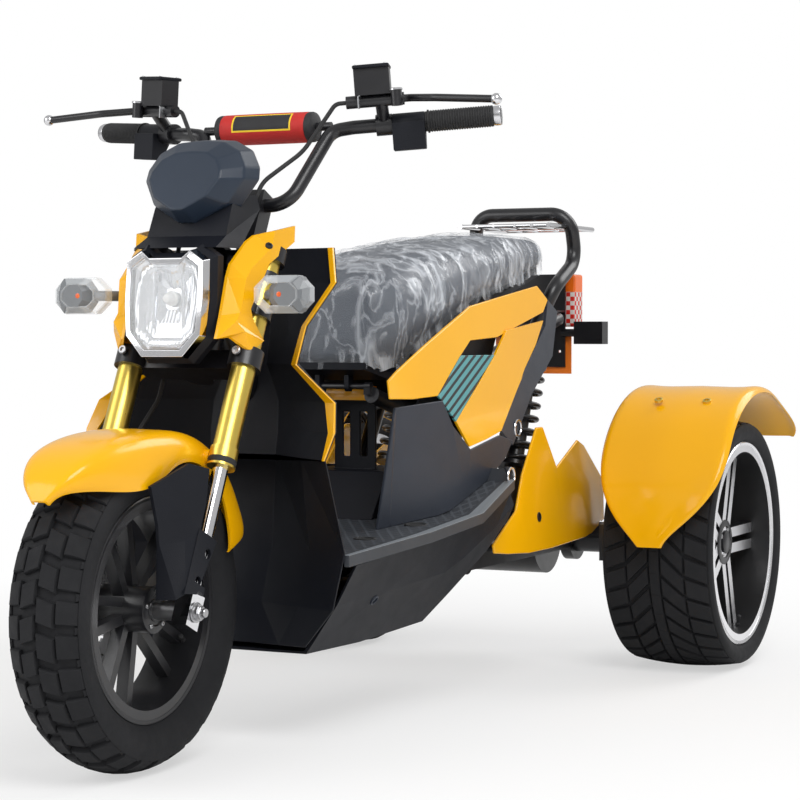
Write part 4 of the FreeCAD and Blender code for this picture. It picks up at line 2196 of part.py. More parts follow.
def finish():
    doc.recompute()
    for thing in doc.Objects:
        if "Invalid" in thing.State or "Error" in thing.State:
            raise SystemExit("%s failed: %s" % (thing.Label, thing.State))
    os.makedirs("parts", exist_ok=True)
    for piece in NODES:
        shape = piece.Shape
        if shape.isNull() or not shape.isValid():
            raise SystemExit("%s has no valid shape" % piece.Label)
        shape.exportStep(os.path.join("parts", piece.Label + ".step"))
        size = shape.BoundBox
        print("%-24s %2d solids %9.0f mm3  x %6.0f %6.0f  y %6.0f %6.0f  z %6.0f %6.0f" % (
            piece.Label, len(shape.Solids), shape.Volume, size.XMin, size.XMax, size.YMin,
            size.YMax, size.ZMin, size.ZMax))


front_wheel()
rear_wheel("left", 1)
rear_wheel("right", -1)
fork_legs()
front_axle()
yokes()
fork_shrouds()
front_caliper()
handlebar()
grips()
controls()
MASK = instrument_mask()
lamp_brackets(cowl_wings(), lamp_cowl(headlamp(), MASK), MASK)
front_signals()
front_fender()
main_frame()
leg_shield()
shield_rear_cover()
front_apron()
floorboard()
belly_pan()
centre_hump()
battery()
side_bodywork()
seat()
seat_tub()
rear_axle(axle_covers())
shocks()
rear_calipers()
fender_struts(rear_fenders())
tail()
finish()
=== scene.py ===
import json
import math

import bmesh
import bpy
from mathutils import Matrix, Vector, noise


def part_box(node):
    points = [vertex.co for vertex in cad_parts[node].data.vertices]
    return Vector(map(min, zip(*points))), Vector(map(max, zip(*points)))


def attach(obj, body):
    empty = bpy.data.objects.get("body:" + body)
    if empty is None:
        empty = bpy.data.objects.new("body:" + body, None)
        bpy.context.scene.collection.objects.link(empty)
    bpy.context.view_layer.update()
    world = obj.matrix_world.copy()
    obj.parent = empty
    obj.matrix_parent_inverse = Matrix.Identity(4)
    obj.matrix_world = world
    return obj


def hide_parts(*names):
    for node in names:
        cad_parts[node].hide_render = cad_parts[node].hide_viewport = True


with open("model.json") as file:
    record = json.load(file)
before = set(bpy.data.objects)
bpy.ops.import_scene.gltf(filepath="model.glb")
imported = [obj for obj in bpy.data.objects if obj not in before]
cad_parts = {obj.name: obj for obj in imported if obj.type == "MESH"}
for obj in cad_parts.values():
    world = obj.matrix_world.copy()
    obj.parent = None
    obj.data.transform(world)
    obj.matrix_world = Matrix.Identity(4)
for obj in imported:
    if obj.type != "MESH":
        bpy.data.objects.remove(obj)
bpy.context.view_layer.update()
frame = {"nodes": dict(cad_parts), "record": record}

# Places and sizes of the trike, in metres, in the frame of the part

AXLE_HEIGHT = 0.24
FRONT_AXLE_X = 0.708
REAR_AXLE_X = -0.702
REAR_WHEEL_Y = 0.3955
RAKE = math.radians(25.2)
SIDES = ((1, "left"), (-1, "right"))
# The bar's pad: its axis, and its radius and the place of its end seams in millimetres
PAD_X, PAD_Z = 0.288, 0.973
PAD_RADIUS, PAD_SEAM = 24.9, 77.2


# The camera and the light

CAMERA_PLACE = Vector((3.53417, 1.80645, 0.64114))
CAMERA_YAW = math.radians(205.79006)
CAMERA_PITCH = math.radians(-1.65216)
CAMERA_ROLL = math.radians(0.02535)
FRAME_PIXELS = 800
FOCAL_PIXELS = 2283.638
SENSOR = 36.0
# Light from all round, where what the camera sees directly is white
AMBIENT = 0.55
LAMP_TARGET = Vector((0, 0, 0.4))
# The floor: its half size, and how far from its middle it starts and ends to fade, in metres
FLOOR_HALF, FADE_START, FADE_END = 30, 0.9, 2.4


def added(name, data):
    """A new object of the scene with this data."""
    made = bpy.data.objects.new(name, data)
    bpy.context.scene.collection.objects.link(made)
    return made


def make_camera():
    data = bpy.data.cameras.new("camera")
    data.sensor_width = SENSOR
    data.lens = FOCAL_PIXELS * SENSOR / FRAME_PIXELS
    data.clip_start = 0.05
    data.clip_end = 200
    camera = added("camera", data)
    flat = math.cos(CAMERA_PITCH)
    ahead = Vector((math.cos(CAMERA_YAW) * flat, math.sin(CAMERA_YAW) * flat,
                    math.sin(CAMERA_PITCH)))
    right = ahead.cross(Vector((0, 0, 1))).normalized()
    up = right.cross(ahead)
    turn = Matrix.Rotation(-CAMERA_ROLL, 3, ahead)
    right, up = turn @ right, turn @ up
    camera.matrix_world = Matrix.Translation(CAMERA_PLACE) @ Matrix(
        (right, up, -ahead)).transposed().to_4x4()
    bpy.context.scene.camera = camera


def make_lamp(name, place, size, power):
    """A round lamp over its own area that faces the middle of the trike."""
    data = bpy.data.lights.new(name, "AREA")
    data.shape = "DISK"
    data.size = size
    data.energy = power
    lamp = added(name, data)
    lamp.location = place
    lamp.rotation_euler = (LAMP_TARGET - Vector(place)).to_track_quat("-Z", "Y").to_euler()


def seen_directly(finish):
    return finish.node("ShaderNodeLightPath", out="Is Camera Ray")


def make_light():
    make_lamp("key_lamp", (2.6, 2.4, 3.6), 2.6, 115)
    make_lamp("fill_lamp", (3.2, -2.6, 2.2), 3.0, 55)
    make_lamp("rear_lamp", (-3.0, 1.8, 3.0), 2.6, 60)
    world = bpy.data.worlds.new("studio")
    bpy.context.scene.world = world
    world.use_nodes = True
    air = Finish.over(world.node_tree)
    background = world.node_tree.nodes["Background"]
    background.inputs["Color"].default_value = (1, 1, 1, 1)
    air.join(seen_directly(air) * (1 - AMBIENT) + AMBIENT, background.inputs["Strength"])
    bpy.context.scene.view_settings.view_transform = "Standard"


def make_floor():
    """A pale floor that fades to white away from the trike, where the camera sees it."""
    mesh = bpy.data.meshes.new("floor")
    mesh.from_pydata([(x * FLOOR_HALF, y * FLOOR_HALF, 0)
                      for x, y in ((-1, -1), (1, -1), (1, 1), (-1, 1))], [], [(0, 1, 2, 3)])
    floor = added("floor", mesh)
    finish = Finish("floor", (0.86, 0.86, 0.86), 0.9)
    where = finish.coordinates()
    away = finish.node("ShaderNodeVectorMath", {"operation": "LENGTH"}, {0: where}, out="Value")
    far = finish.node("ShaderNodeMapRange", {"interpolation_type": "SMOOTHSTEP"},
                      {"Value": away, "From Min": FADE_START, "From Max": FADE_END})
    white = finish.node("ShaderNodeEmission", {}, {"Strength": 1.0})
    whiteness = (far * (1 - AMBIENT) + AMBIENT) * seen_directly(finish)
    finish.surface(whiteness, finish.own(), white)
    mesh.materials.append(finish.material)


# Finishes: a value wraps one socket, and sums on values add the nodes that work them out

class Value:
    """One socket of a finish, with the sums that add a math node for it."""

    def __init__(self, finish, socket):
        self.finish = finish
        self.socket = socket

    def math(self, operation, *others):
        return self.finish.node("ShaderNodeMath", {"operation": operation},
                                dict(enumerate((self,) + others)))

    def __add__(self, other):
        return self.math("ADD", other)

    __radd__ = __add__

    def __sub__(self, other):
        return self.math("SUBTRACT", other)

    def __rsub__(self, other):
        return self * -1 + other

    def __mul__(self, other):
        return self.math("MULTIPLY", other)

    __rmul__ = __mul__

    def __truediv__(self, other):
        return self.math("DIVIDE", other)

    def __pow__(self, other):
        return self.math("POWER", other)

    def __gt__(self, other):
        return self.math("GREATER_THAN", other)

    def __lt__(self, other):
        return self.math("LESS_THAN", other)

    def __abs__(self):
        return self.math("ABSOLUTE")

    def repeats(self, length):
        """Where this value lies in its repeat of this length, from 0 to 1."""
        return (self / length).math("FRACT")


class Finish:
    """A material and its nodes; constants go by socket name, and values are joined."""

    def __init__(self, name, colour, roughness, metallic=0.0, **more):
        self.material = bpy.data.materials.new(name)
        self.material.use_nodes = True
        self.tree = self.material.node_tree
        self.shader = self.tree.nodes["Principled BSDF"]
        self.put("Base Color", (*colour, 1))
        self.put("Roughness", roughness)
        self.put("Metallic", metallic)
        for words, amount in more.items():
            self.put(words.replace("_", " ").title().replace("Ior", "IOR"), amount)

    @classmethod
    def over(cls, tree):
        """The same for a node tree that isn't a material's."""
        made = cls.__new__(cls)
        made.tree = tree
        return made

    def put(self, socket, amount):
        if isinstance(amount, Value):
            self.join(amount, self.shader.inputs[socket])
        else:
            self.shader.inputs[socket].default_value = amount

    def value(self, socket):
        return Value(self, socket)

    def join(self, amount, socket):
        self.tree.links.new(amount.socket, socket)

    def node(self, kind, settings=None, sockets=None, out=0, every=False):
        """A new node's value at one of its outputs, or the node itself for every output."""
        made = self.tree.nodes.new(kind)
        for key, setting in (settings or {}).items():
            setattr(made, key, setting)
        for key, amount in (sockets or {}).items():
            if isinstance(amount, Value):
                self.join(amount, made.inputs[key])
            else:
                made.inputs[key].default_value = amount
        return made if every else self.value(made.outputs[out])

    def own(self):
        return self.value(self.shader.outputs[0])

    def coordinates(self):
        return self.node("ShaderNodeTexCoord", out="Object")

    def normals(self):
        return self.node("ShaderNodeTexCoord", out="Normal")

    def parts(self, vector):
        split = self.node("ShaderNodeSeparateXYZ", {}, {0: vector}, every=True)
        return [self.value(split.outputs[axis]) for axis in "XYZ"]

    def noise(self, scale, detail, where=None, distortion=0.0):
        return self.node("ShaderNodeTexNoise", {}, {
            "Vector": where or self.coordinates(), "Scale": scale, "Detail": detail,
            "Distortion": distortion})

    def cells(self, scale, feature="F1"):
        return self.node("ShaderNodeTexVoronoi", {"feature": feature},
                         {"Vector": self.coordinates(), "Scale": scale}, out="Distance")

    def wear(self, scale, detail, low, high):
        """Roughness between two amounts, in patches of this scale."""
        self.put("Roughness", self.node("ShaderNodeMapRange", {}, {
            "Value": self.noise(scale, detail), "To Min": low, "To Max": high}))

    def mixed(self, share, first, second):
        def four(colour):
            return colour if isinstance(colour, Value) else (*colour, 1)
        return self.node("ShaderNodeMix", {"data_type": "RGBA"},
                         {0: share, 6: four(first), 7: four(second)}, out=2)

    def tint(self, share, first, second):
        self.put("Base Color", self.mixed(share, first, second))

    def bumped(self, height, distance, strength):
        self.put("Normal", self.node("ShaderNodeBump", {}, {
            "Height": height, "Distance": distance, "Strength": strength}))

    def surface(self, share, first, second):
        """The surface as a mix of two shaders."""
        mixed = self.node("ShaderNodeMixShader", {}, {0: share, 1: first, 2: second})
        self.join(mixed, self.tree.nodes["Material Output"].inputs["Surface"])

    def clear(self, shown):
        """What lies behind shows through, all but this share."""
        self.surface(shown, self.node("ShaderNodeBsdfTransparent"), self.own())


def shade(colour, factor, extra=0.0):
    return tuple(min(1, part * factor + extra) for part in colour)


def moulded(name, colour, roughness, grain=1.0, gloss=0.5):
    """Moulded plastic with a fine grain and faint shade changes."""
    made = Finish(name, colour, roughness, specular_ior_level=gloss)
    made.tint(made.noise(9, 3), shade(colour, 0.84), shade(colour, 1.22, 0.002))
    made.wear(34, 4, roughness - 0.07, roughness + 0.08)
    made.bumped(made.cells(900) + made.noise(420, 3), 0.00022 * grain, 0.55)
    return made


def glossy(name, colour, roughness=0.22):
    """Painted panel with a clear coat over it and a faint waviness."""
    made = Finish(name, colour, roughness, coat_roughness=0.07, coat_weight=0.28,
                  specular_ior_level=0.3)
    made.tint(made.noise(5, 2), shade(colour, 0.93), shade(colour, 1.05))
    made.wear(60, 4, roughness - 0.04, roughness + 0.05)
    made.bumped(made.noise(26, 1), 0.0006, 0.25)
    return made


def metal(name, colour, roughness, scratch=0.06):
    """Bare or plated metal with fine wear in its gloss."""
    made = Finish(name, colour, roughness, 1.0)
    made.wear(140, 5, max(0.03, roughness - scratch), roughness + scratch)
    made.tint(made.noise(30, 3), shade(colour, 0.9), colour)
    made.bumped(made.noise(500, 2), 0.00008, 0.4)
    return made


def painted_metal(name, colour, roughness):
    """Black paint with a thin coat and small unevenness."""
    made = Finish(name, colour, roughness, coat_weight=0.25, coat_roughness=0.2)
    made.wear(45, 4, roughness - 0.08, roughness + 0.1)
    made.tint(made.noise(14, 3), shade(colour, 0.8), shade(colour, 1.25))
    made.bumped(made.noise(260, 3), 0.00016, 0.5)
    return made


def tyre_rubber():
    """Matte rubber with a dusty unevenness."""
    made = Finish("tyre_rubber", (0.012, 0.012, 0.014), 0.72, specular_ior_level=0.25)
    made.tint(made.noise(11, 4), (0.007, 0.0075, 0.009), (0.018, 0.018, 0.02))
    made.wear(60, 4, 0.6, 0.86)
    made.bumped(made.noise(350, 4) + made.noise(40, 2) * 2, 0.0004, 0.5)
    return made


def leather():
    """Blue-grey seat cover with a pebbled grain."""
    made = Finish("seat_leather", (0.045, 0.055, 0.075), 0.42, coat_weight=0.1)
    made.tint(made.noise(13, 4), (0.034, 0.042, 0.058), (0.065, 0.08, 0.105))
    made.wear(30, 3, 0.34, 0.55)
    made.bumped(made.cells(260, "DISTANCE_TO_EDGE") + made.noise(60, 4), 0.0006, 0.6)
    return made


def machined_wheel():
    """Wheel with polished faces outwards and black paint in its pockets."""
    made = Finish("machined_wheel", (0.7, 0.7, 0.72), 0.2, 1.0)
    bright = abs(made.parts(made.normals())[1]) > 0.6
    made.tint(bright, (0.012, 0.012, 0.013), (0.9, 0.9, 0.92))
    made.put("Metallic", bright)
    made.put("Roughness", bright * (made.noise(90, 4) * 0.18 - 0.12) + 0.42)
    made.bumped(made.noise(700, 2), 0.00006, 0.4)
    return made


def film_wrap():
    """Clear wrapping film: nearly unseen, with milky creases and a soft gloss; the creases'
    whiteness is partly the film's own and partly a painted highlight along its folds.
    """
    made = Finish("clear_film", (0.86, 0.9, 0.96), 0.16, coat_weight=0.6, coat_roughness=0.08)
    where = made.node("ShaderNodeMapping", {},
                      {"Vector": made.coordinates(), "Scale": (1.0, 0.8, 0.42)}, out="Vector")

    def creases(field, sharpness):
        return (1 - abs(field - 0.5) * sharpness).math("MAXIMUM", 0)

    bent = made.noise(9, 3, where, distortion=0.5)
    fine = creases(made.noise(30, 3, where, distortion=0.7), 20)
    made.bumped(bent * 2 + made.noise(22, 3), 0.004, 0.8)
    # The milky creases are partly the film's own whitening and partly a painted highlight along
    # its folds
    made.clear((creases(bent, 22) * 0.34 + fine * 0.24 + 0.11).math("MINIMUM", 0.6))
    return made


def lamp_cover():
    """Clear hard plastic over a lamp: a faint tint with sharp gloss, and whiter towards its rims
    as seen, a painted sheen.
    """
    made = Finish("lamp_glass", (0.9, 0.93, 0.95), 0.05, coat_weight=0.8, coat_roughness=0.03)
    made.wear(40, 3, 0.03, 0.09)
    # Whiter where the cover is seen edge-on: a painted sheen for glancing reflection
    edge = made.node("ShaderNodeLayerWeight", {}, {"Blend": 0.35}, out="Facing")
    made.clear((edge * 0.5 + 0.16).math("MINIMUM", 0.85))
    return made


def drilled_disc():
    """Ground steel with slanted rows of drilled holes, painted near black as shade."""
    inner, outer, row = 0.0725, 0.1015, 0.0105
    holes, arc, slant, hole_radius = 24, 0.0228, 46, 0.0027
    made = Finish("drilled_disc", (0.5, 0.5, 0.51), 0.3, 1.0)
    x, _, z = made.parts(made.coordinates())
    x, z = x - FRONT_AXLE_X, z - AXLE_HEIGHT
    radius = (x * x + z * z) ** 0.5
    turn = z.math("ARCTAN2", x) * (holes / (2 * math.pi)) + radius * slant
    sideways, out = turn.math("FRACT") - 0.5, (radius - inner).repeats(row) - 0.5
    near = ((sideways * arc) ** 2 + (out * row) ** 2) ** 0.5
    hole = (near < hole_radius) * ((radius > inner) * (radius < outer))
    grooves = made.noise(900, 1, made.node("ShaderNodeCombineXYZ", {}, {0: radius}))
    # The holes are not cut: their near-black colour is painted shade for their depth
    made.tint(hole, (0.52, 0.52, 0.53), (0.01, 0.01, 0.01))
    made.put("Metallic", 1 - hole)
    made.wear(120, 4, 0.22, 0.4)
    made.bumped(grooves * 0.3 - hole * 4, 0.0006, 0.6)
    return made


def slotted_teal():
    """Teal plastic with a row of slanted slots, painted near black as the shade in them."""
    pitch, half_slot = 0.0135, 0.2
    made = Finish("slotted_teal", (0.07, 0.26, 0.28), 0.42)
    x, _, z = made.parts(made.coordinates())
    slot = (abs((z * 0.9 + x * 0.42).repeats(pitch) - 0.5) < half_slot) * 1.0
    # The slots are painted near black: painted shade in the openings
    made.tint(slot, (0.085, 0.31, 0.33), (0.008, 0.012, 0.014))
    made.wear(34, 4, 0.34, 0.5)
    made.bumped((1 - slot) * 1.0 + made.noise(420, 3) * 0.03, 0.003, 0.9)
    return made


def ribbed_floor():
    """Dark floor with crossing ribs, and a paler plain strip along each edge."""
    ribs_end, strip_start, pitch, slant, half_rib = 0.215, 0.222, 0.021, 0.62, 0.13
    made = Finish("ribbed_floor", (0.03, 0.034, 0.04), 0.5)
    x, y, _ = made.parts(made.coordinates())
    up = made.parts(made.normals())[2] > 0.8
    lines = [abs((x * slant + y * way).repeats(pitch) - 0.5) < half_rib for way in (1, -1)]
    rib = (lines[0] * 1.0).math("MAXIMUM", lines[1]) * ((abs(y) < ribs_end) * up)
    dark = made.mixed(made.noise(12, 3), (0.022, 0.025, 0.031), (0.042, 0.047, 0.056))
    ribbed = made.mixed(rib * 0.55, dark, (0.085, 0.095, 0.11))
    made.tint((abs(y) > strip_start) * up, ribbed, (0.2, 0.22, 0.24))
    made.wear(30, 4, 0.4, 0.56)
    made.bumped(rib * 1.0 + made.noise(420, 3) * 0.05, 0.0016, 0.8)
    return made


def bar_pad_cover():
    """Red woven cover with black ends, and a plain black panel edged yellow in front."""
    panel_half_length, panel_half_width, edging, middle = 0.054, 0.0165, 0.0028, 0.42
    made = Finish("bar_pad", (0.55, 0.02, 0.015), 0.6)
    x, y, z = made.parts(made.coordinates())
    angle = (z - PAD_Z).math("ARCTAN2", x - PAD_X)
    across = abs(angle - middle) * (PAD_RADIUS / 1000) - panel_half_width
    inside = (abs(y) - panel_half_length).math("MAXIMUM", across)
    panel, ends = inside < 0, abs(y) > PAD_SEAM / 1000
    weave = made.node("ShaderNodeTexBrick", {}, {"Vector": made.coordinates(), "Scale": 300},
                      out="Fac")
    red = made.mixed(made.noise(24, 3), (0.42, 0.012, 0.01), (0.62, 0.02, 0.014))
    black = made.mixed(panel.math("MAXIMUM", ends), red, (0.016, 0.016, 0.018))
    made.tint(panel * (inside > -edging), black, (0.9, 0.62, 0.02))
    made.wear(60, 3, 0.5, 0.7)
    made.bumped(weave * 0.4 + made.noise(300, 3), 0.0004, 0.6)
    return made


def tail_lens():
    """Orange upper part over a red and white chequered reflector."""
    chequer_top = 0.728
    made = Finish("tail_lens", (0.6, 0.05, 0.01), 0.25, coat_weight=0.5, coat_roughness=0.08)
    where = made.coordinates()
    squares = made.node("ShaderNodeTexChecker", {}, {"Vector": where, "Scale": 110}, out="Fac")
    chequer = made.mixed(squares, (0.62, 0.02, 0.012), (0.72, 0.66, 0.62))
    made.tint(made.parts(where)[2] > chequer_top, chequer, (0.9, 0.16, 0.006))
    made.wear(50, 3, 0.16, 0.3)
    made.bumped(made.cells(520), 0.0003, 0.5)
    return made


def amber_plastic():
    """Orange and red lens plastic with small cells."""
    made = Finish("amber_lens", (0.85, 0.13, 0.006), 0.22, coat_weight=0.6, coat_roughness=0.06)
    made.tint(made.cells(180), (0.9, 0.2, 0.01), (0.6, 0.035, 0.006))
    made.bumped(made.cells(420), 0.0004, 0.6)
    return made


def mirror_finish():
    """Plated reflector with faint flutes."""
    made = Finish("reflector", (0.8, 0.81, 0.84), 0.1, 1.0)
    _, y, _ = made.parts(made.coordinates())
    made.tint(made.noise(20, 2), (0.6, 0.62, 0.66), (0.86, 0.87, 0.9))
    made.wear(80, 3, 0.06, 0.16)
    made.bumped(abs(y.repeats(0.006) - 0.5), 0.0009, 0.5)
    return made


# Plain finishes, by what makes them: colour, roughness, then the maker's own values
PLAIN_FINISHES = {
    moulded: dict(
        black_plastic=((0.0065, 0.0075, 0.0115), 0.46, 1.0, 0.22),
        grey_plastic=((0.03, 0.036, 0.05), 0.4, 1.0, 0.3),
        mask_plastic=((0.016, 0.026, 0.044), 0.36, 1.0, 0.4),
        red_fabric=((0.55, 0.02, 0.015), 0.6, 3.0),
        rubber=((0.012, 0.012, 0.013), 0.62, 2.0),
        bulb_glass=((0.8, 0.8, 0.78), 0.12, 0.2),
        signal_plastic=((0.16, 0.17, 0.18), 0.35),
        battery_case=((0.04, 0.04, 0.045), 0.5),
        orange_plate=((0.85, 0.19, 0.01), 0.45, 0.5)),
    metal: dict(
        bright_lip=((0.74, 0.74, 0.76), 0.2),
        silver_plastic=((0.62, 0.63, 0.65), 0.34),
        steel=((0.5, 0.5, 0.51), 0.32),
        gold_metal=((0.84, 0.62, 0.13), 0.3),
        chrome=((0.78, 0.78, 0.8), 0.09, 0.04)),
    painted_metal: dict(
        black_alloy=((0.012, 0.012, 0.014), 0.35),
        black_metal=((0.006, 0.006, 0.008), 0.36)),
    glossy: dict(
        yellow_plastic=((0.92, 0.45, 0.001),),
        guard_cap=((0.95, 0.42, 0.01), 0.3)),
}
OWN_FINISHES = dict(
    tyre=tyre_rubber, silver_alloy=machined_wheel, slotted_teal=slotted_teal,
    ribbed_floor=ribbed_floor, drilled_disc=drilled_disc, bar_pad=bar_pad_cover,
    reflector=mirror_finish, clear_film=film_wrap, seat_leather=leather,
    amber_lens=amber_plastic, tail_lens=tail_lens, lamp_glass=lamp_cover)
FINISHES = {}
# Nodes whose finish isn't plainly their slot's
NODE_FINISHES = dict(
    front_brake_disc="drilled_disc", side_grilles="slotted_teal", floorboard="ribbed_floor",
    tail_lamp="tail_lens", headlamp_lens="lamp_glass", instrument_cowl="mask_plastic")
NODE_SLOTS = {row["node"]: row["material_slot"] for row in frame["record"]["subparts"]}
NODE_BODIES = {node: body for body, nodes in frame["record"]["behaviour"]["bodies"].items()
               for node in nodes}


def make_finishes():
    for maker, rows in PLAIN_FINISHES.items():
        FINISHES.update({name: maker(name, *values) for name, values in rows.items()})
    FINISHES.update({name: maker() for name, maker in OWN_FINISHES.items()})


def dress_nodes():
    """Every node of the part takes the finish of its slot."""
    for name, node in frame["nodes"].items():
        material = FINISHES[NODE_FINISHES.get(name, NODE_SLOTS[name])].material
        if node.material_slots:
            for slot in node.material_slots:
                slot.material = material
        else:
            node.data.materials.append(material)


# Places: behind the front axle, to the left and up, or in the fork's own frame, in millimetres

def at(back, out, up):
    return Vector((FRONT_AXLE_X - back / 1000, out / 1000, up / 1000))


def on_fork(ahead, out, along):
    s, c = math.sin(RAKE), math.cos(RAKE)
    return at(s * along - c * ahead, out, 1000 * AXLE_HEIGHT + c * along + s * ahead)


# Shapes: a shape is its points and its faces, and a maker turns it into a piece

CREASE = 32


def skin(rings, closed=False, caps=True):
    """Faces between rings of the same number of points, with both ends capped."""
    count = len(rings[0])
    points = [Vector(p) for ring in rings for p in ring]
    faces = []
    steps = len(rings) if closed else len(rings) - 1
    for k in range(steps):
        a, b = k * count, (k + 1) % len(rings) * count
        for i in range(count):
            j = (i + 1) % count
            faces.append((a + i, a + j, b + j, b + i))
    if caps and not closed:
        faces.append(tuple(reversed(range(count))))
        faces.append(tuple(range(len(points) - count, len(points))))
    return points, faces


def lathe(profile, sides, caps=True, closed=False):
    """A profile of (radius, height) in millimetres, turned about z."""
    rings = []
    for radius, height in profile:
        rings.append([(radius / 1000 * math.cos(2 * math.pi * k / sides),
                       radius / 1000 * math.sin(2 * math.pi * k / sides), height / 1000)
                      for k in range(sides)])
    return skin(rings, closed, caps)


def block(width, depth, height, edge):
    """A block round the origin with softened edges, in millimetres, its foot at height 0."""
    def ring(shrink, z):
        w, d = (width / 2 - shrink) / 1000, (depth / 2 - shrink) / 1000
        c = min(edge, width / 3, depth / 3) / 1000
        return [(-w + c, -d, z / 1000), (w - c, -d, z / 1000), (w, -d + c, z / 1000),
                (w, d - c, z / 1000), (w - c, d, z / 1000), (-w + c, d, z / 1000),
                (-w, d - c, z / 1000), (-w, -d + c, z / 1000)]
    return skin([ring(edge * 0.5, 0), ring(0, edge * 0.5), ring(0, height - edge * 0.7),
                 ring(edge * 0.8, height)])


def strip(path, across, thickness):
    """A flat strip along a path of places, this wide along across and this thick, in mm."""
    rings = []
    side = Vector(across).normalized()
    for k, place in enumerate(path):
        after, before = path[min(k + 1, len(path) - 1)], path[max(k - 1, 0)]
        ahead = (Vector(after) - Vector(before)).normalized()
        normal = ahead.cross(side).normalized()
        w, t = thickness[0] / 2000, thickness[1] / 2000
        rings.append([Vector(place) + side * (w * a) + normal * (t * b)
                      for a, b in ((-1, -0.6), (-0.9, -1), (0.9, -1), (1, -0.6),
                                   (1, 0.6), (0.9, 1), (-0.9, 1), (-1, 0.6))])
    return skin(rings)


def moved(shape, place, along):
    """The shape with its z axis along a direction and its origin at a place."""
    turn = Vector(along).to_track_quat("Z", "Y").to_matrix().to_4x4()
    matrix = Matrix.Translation(place) @ turn
    return [matrix @ Vector(p) for p in shape[0]], shape[1]


def together(*shapes):
    """Several shapes as one."""
    points, faces = [], []
    for shape in shapes:
        faces += [tuple(i + len(points) for i in face) for face in shape[1]]
        points += list(shape[0])
    return points, faces


def twin(place):
    """The same place or direction on the right side."""
    return Vector((place[0], -place[1], place[2]))


def both_sides(shape):
    """The shape and its twin on the right side, both with their faces outwards."""
    return together(shape, ([twin(p) for p in shape[0]],
                            [tuple(reversed(face)) for face in shape[1]]))


def smooth(mesh, angle):
    """Smooth shading with sharp creases above this many degrees."""
    mesh.polygons.foreach_set("use_smooth", [True] * len(mesh.polygons))
    mesh.set_sharp_from_angle(angle=math.radians(angle))


def tidied(mesh, nearest, flat=None):
    """The mesh with doubles merged, flat creases dissolved if wanted, and faces outwards."""
    work = bmesh.new()
    work.from_mesh(mesh)
    bmesh.ops.remove_doubles(work, verts=work.verts, dist=nearest)
    if flat is not None:
        bmesh.ops.dissolve_limit(work, angle_limit=math.radians(flat), verts=work.verts,
                                 edges=work.edges)
    bmesh.ops.recalc_face_normals(work, faces=work.faces)
    work.to_mesh(mesh)
    work.free()


def make(name, shape, finish, body, stands_for=(), angle=CREASE, solid=True):
    """One piece of the object from a shape, in a finish, on a body."""
    mesh = bpy.data.meshes.new(name)
    mesh.from_pydata([tuple(p) for p in shape[0]], [], shape[1])
    if solid:
        tidied(mesh, 1e-6)
    smooth(mesh, angle)
    return finished(added(name, mesh), finish, body, stands_for)


def finished(piece, finish, body, stands_for=()):
    """The piece in its finish and slot, on its body, for the nodes that it stands for."""
    piece.data.materials.clear()
    piece.data.materials.append(FINISHES[finish].material)
    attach(piece, body)
    if stands_for:
        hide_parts(*stands_for)
    return piece


def modifier(piece, kind, **settings):
    """A new modifier of the piece with these settings."""
    made = piece.modifiers.new(kind.lower(), kind)
    for key, setting in settings.items():
        setattr(made, key, setting)
    return made


def flatten(piece):
    """The piece's modifiers worked into its mesh."""
    view = bpy.context.evaluated_depsgraph_get()
    mesh = bpy.data.meshes.new_from_object(piece.evaluated_get(view))
    piece.modifiers.clear()
    piece.data = mesh


# Repeats: copies of one small shape at many places, made with Geometry Nodes

def make_repeat_tree():
    tree = bpy.data.node_groups.new("copies_at_places", "GeometryNodeTree")
    for words, kind in (("Places", "NodeSocketGeometry"), ("Unit", "NodeSocketObject"),
                        ("Size", "NodeSocketFloat"), ("Finish", "NodeSocketMaterial")):
        tree.interface.new_socket(words, in_out="INPUT", socket_type=kind)
    tree.interface.new_socket("Copies", in_out="OUTPUT", socket_type="NodeSocketGeometry")
    made = {kind: tree.nodes.new(kind) for kind in (
        "NodeGroupInput", "GeometryNodeObjectInfo", "GeometryNodeInputNamedAttribute",
        "FunctionNodeEulerToRotation", "GeometryNodeInstanceOnPoints",
        "GeometryNodeRealizeInstances", "GeometryNodeSetMaterial", "NodeGroupOutput")}
    given = made["NodeGroupInput"].outputs
    unit, turn = made["GeometryNodeObjectInfo"], made["GeometryNodeInputNamedAttribute"]
    turn.data_type = "FLOAT_VECTOR"
    turn.inputs["Name"].default_value = "turn"
    onto, real = made["GeometryNodeInstanceOnPoints"], made["GeometryNodeRealizeInstances"]
    paint = made["GeometryNodeSetMaterial"]
    euler = made["FunctionNodeEulerToRotation"]
    for start, end in (
            (given["Unit"], unit.inputs["Object"]), (given["Places"], onto.inputs["Points"]),
            (unit.outputs["Geometry"], onto.inputs["Instance"]),
            (turn.outputs["Attribute"], euler.inputs["Euler"]),
            (euler.outputs["Rotation"], onto.inputs["Rotation"]),
            (given["Size"], onto.inputs["Scale"]),
            (onto.outputs["Instances"], real.inputs["Geometry"]),
            (real.outputs["Geometry"], paint.inputs["Geometry"]),
            (given["Finish"], paint.inputs["Material"]),
            (paint.outputs["Geometry"], made["NodeGroupOutput"].inputs["Copies"])):
        tree.links.new(start, end)
    return tree


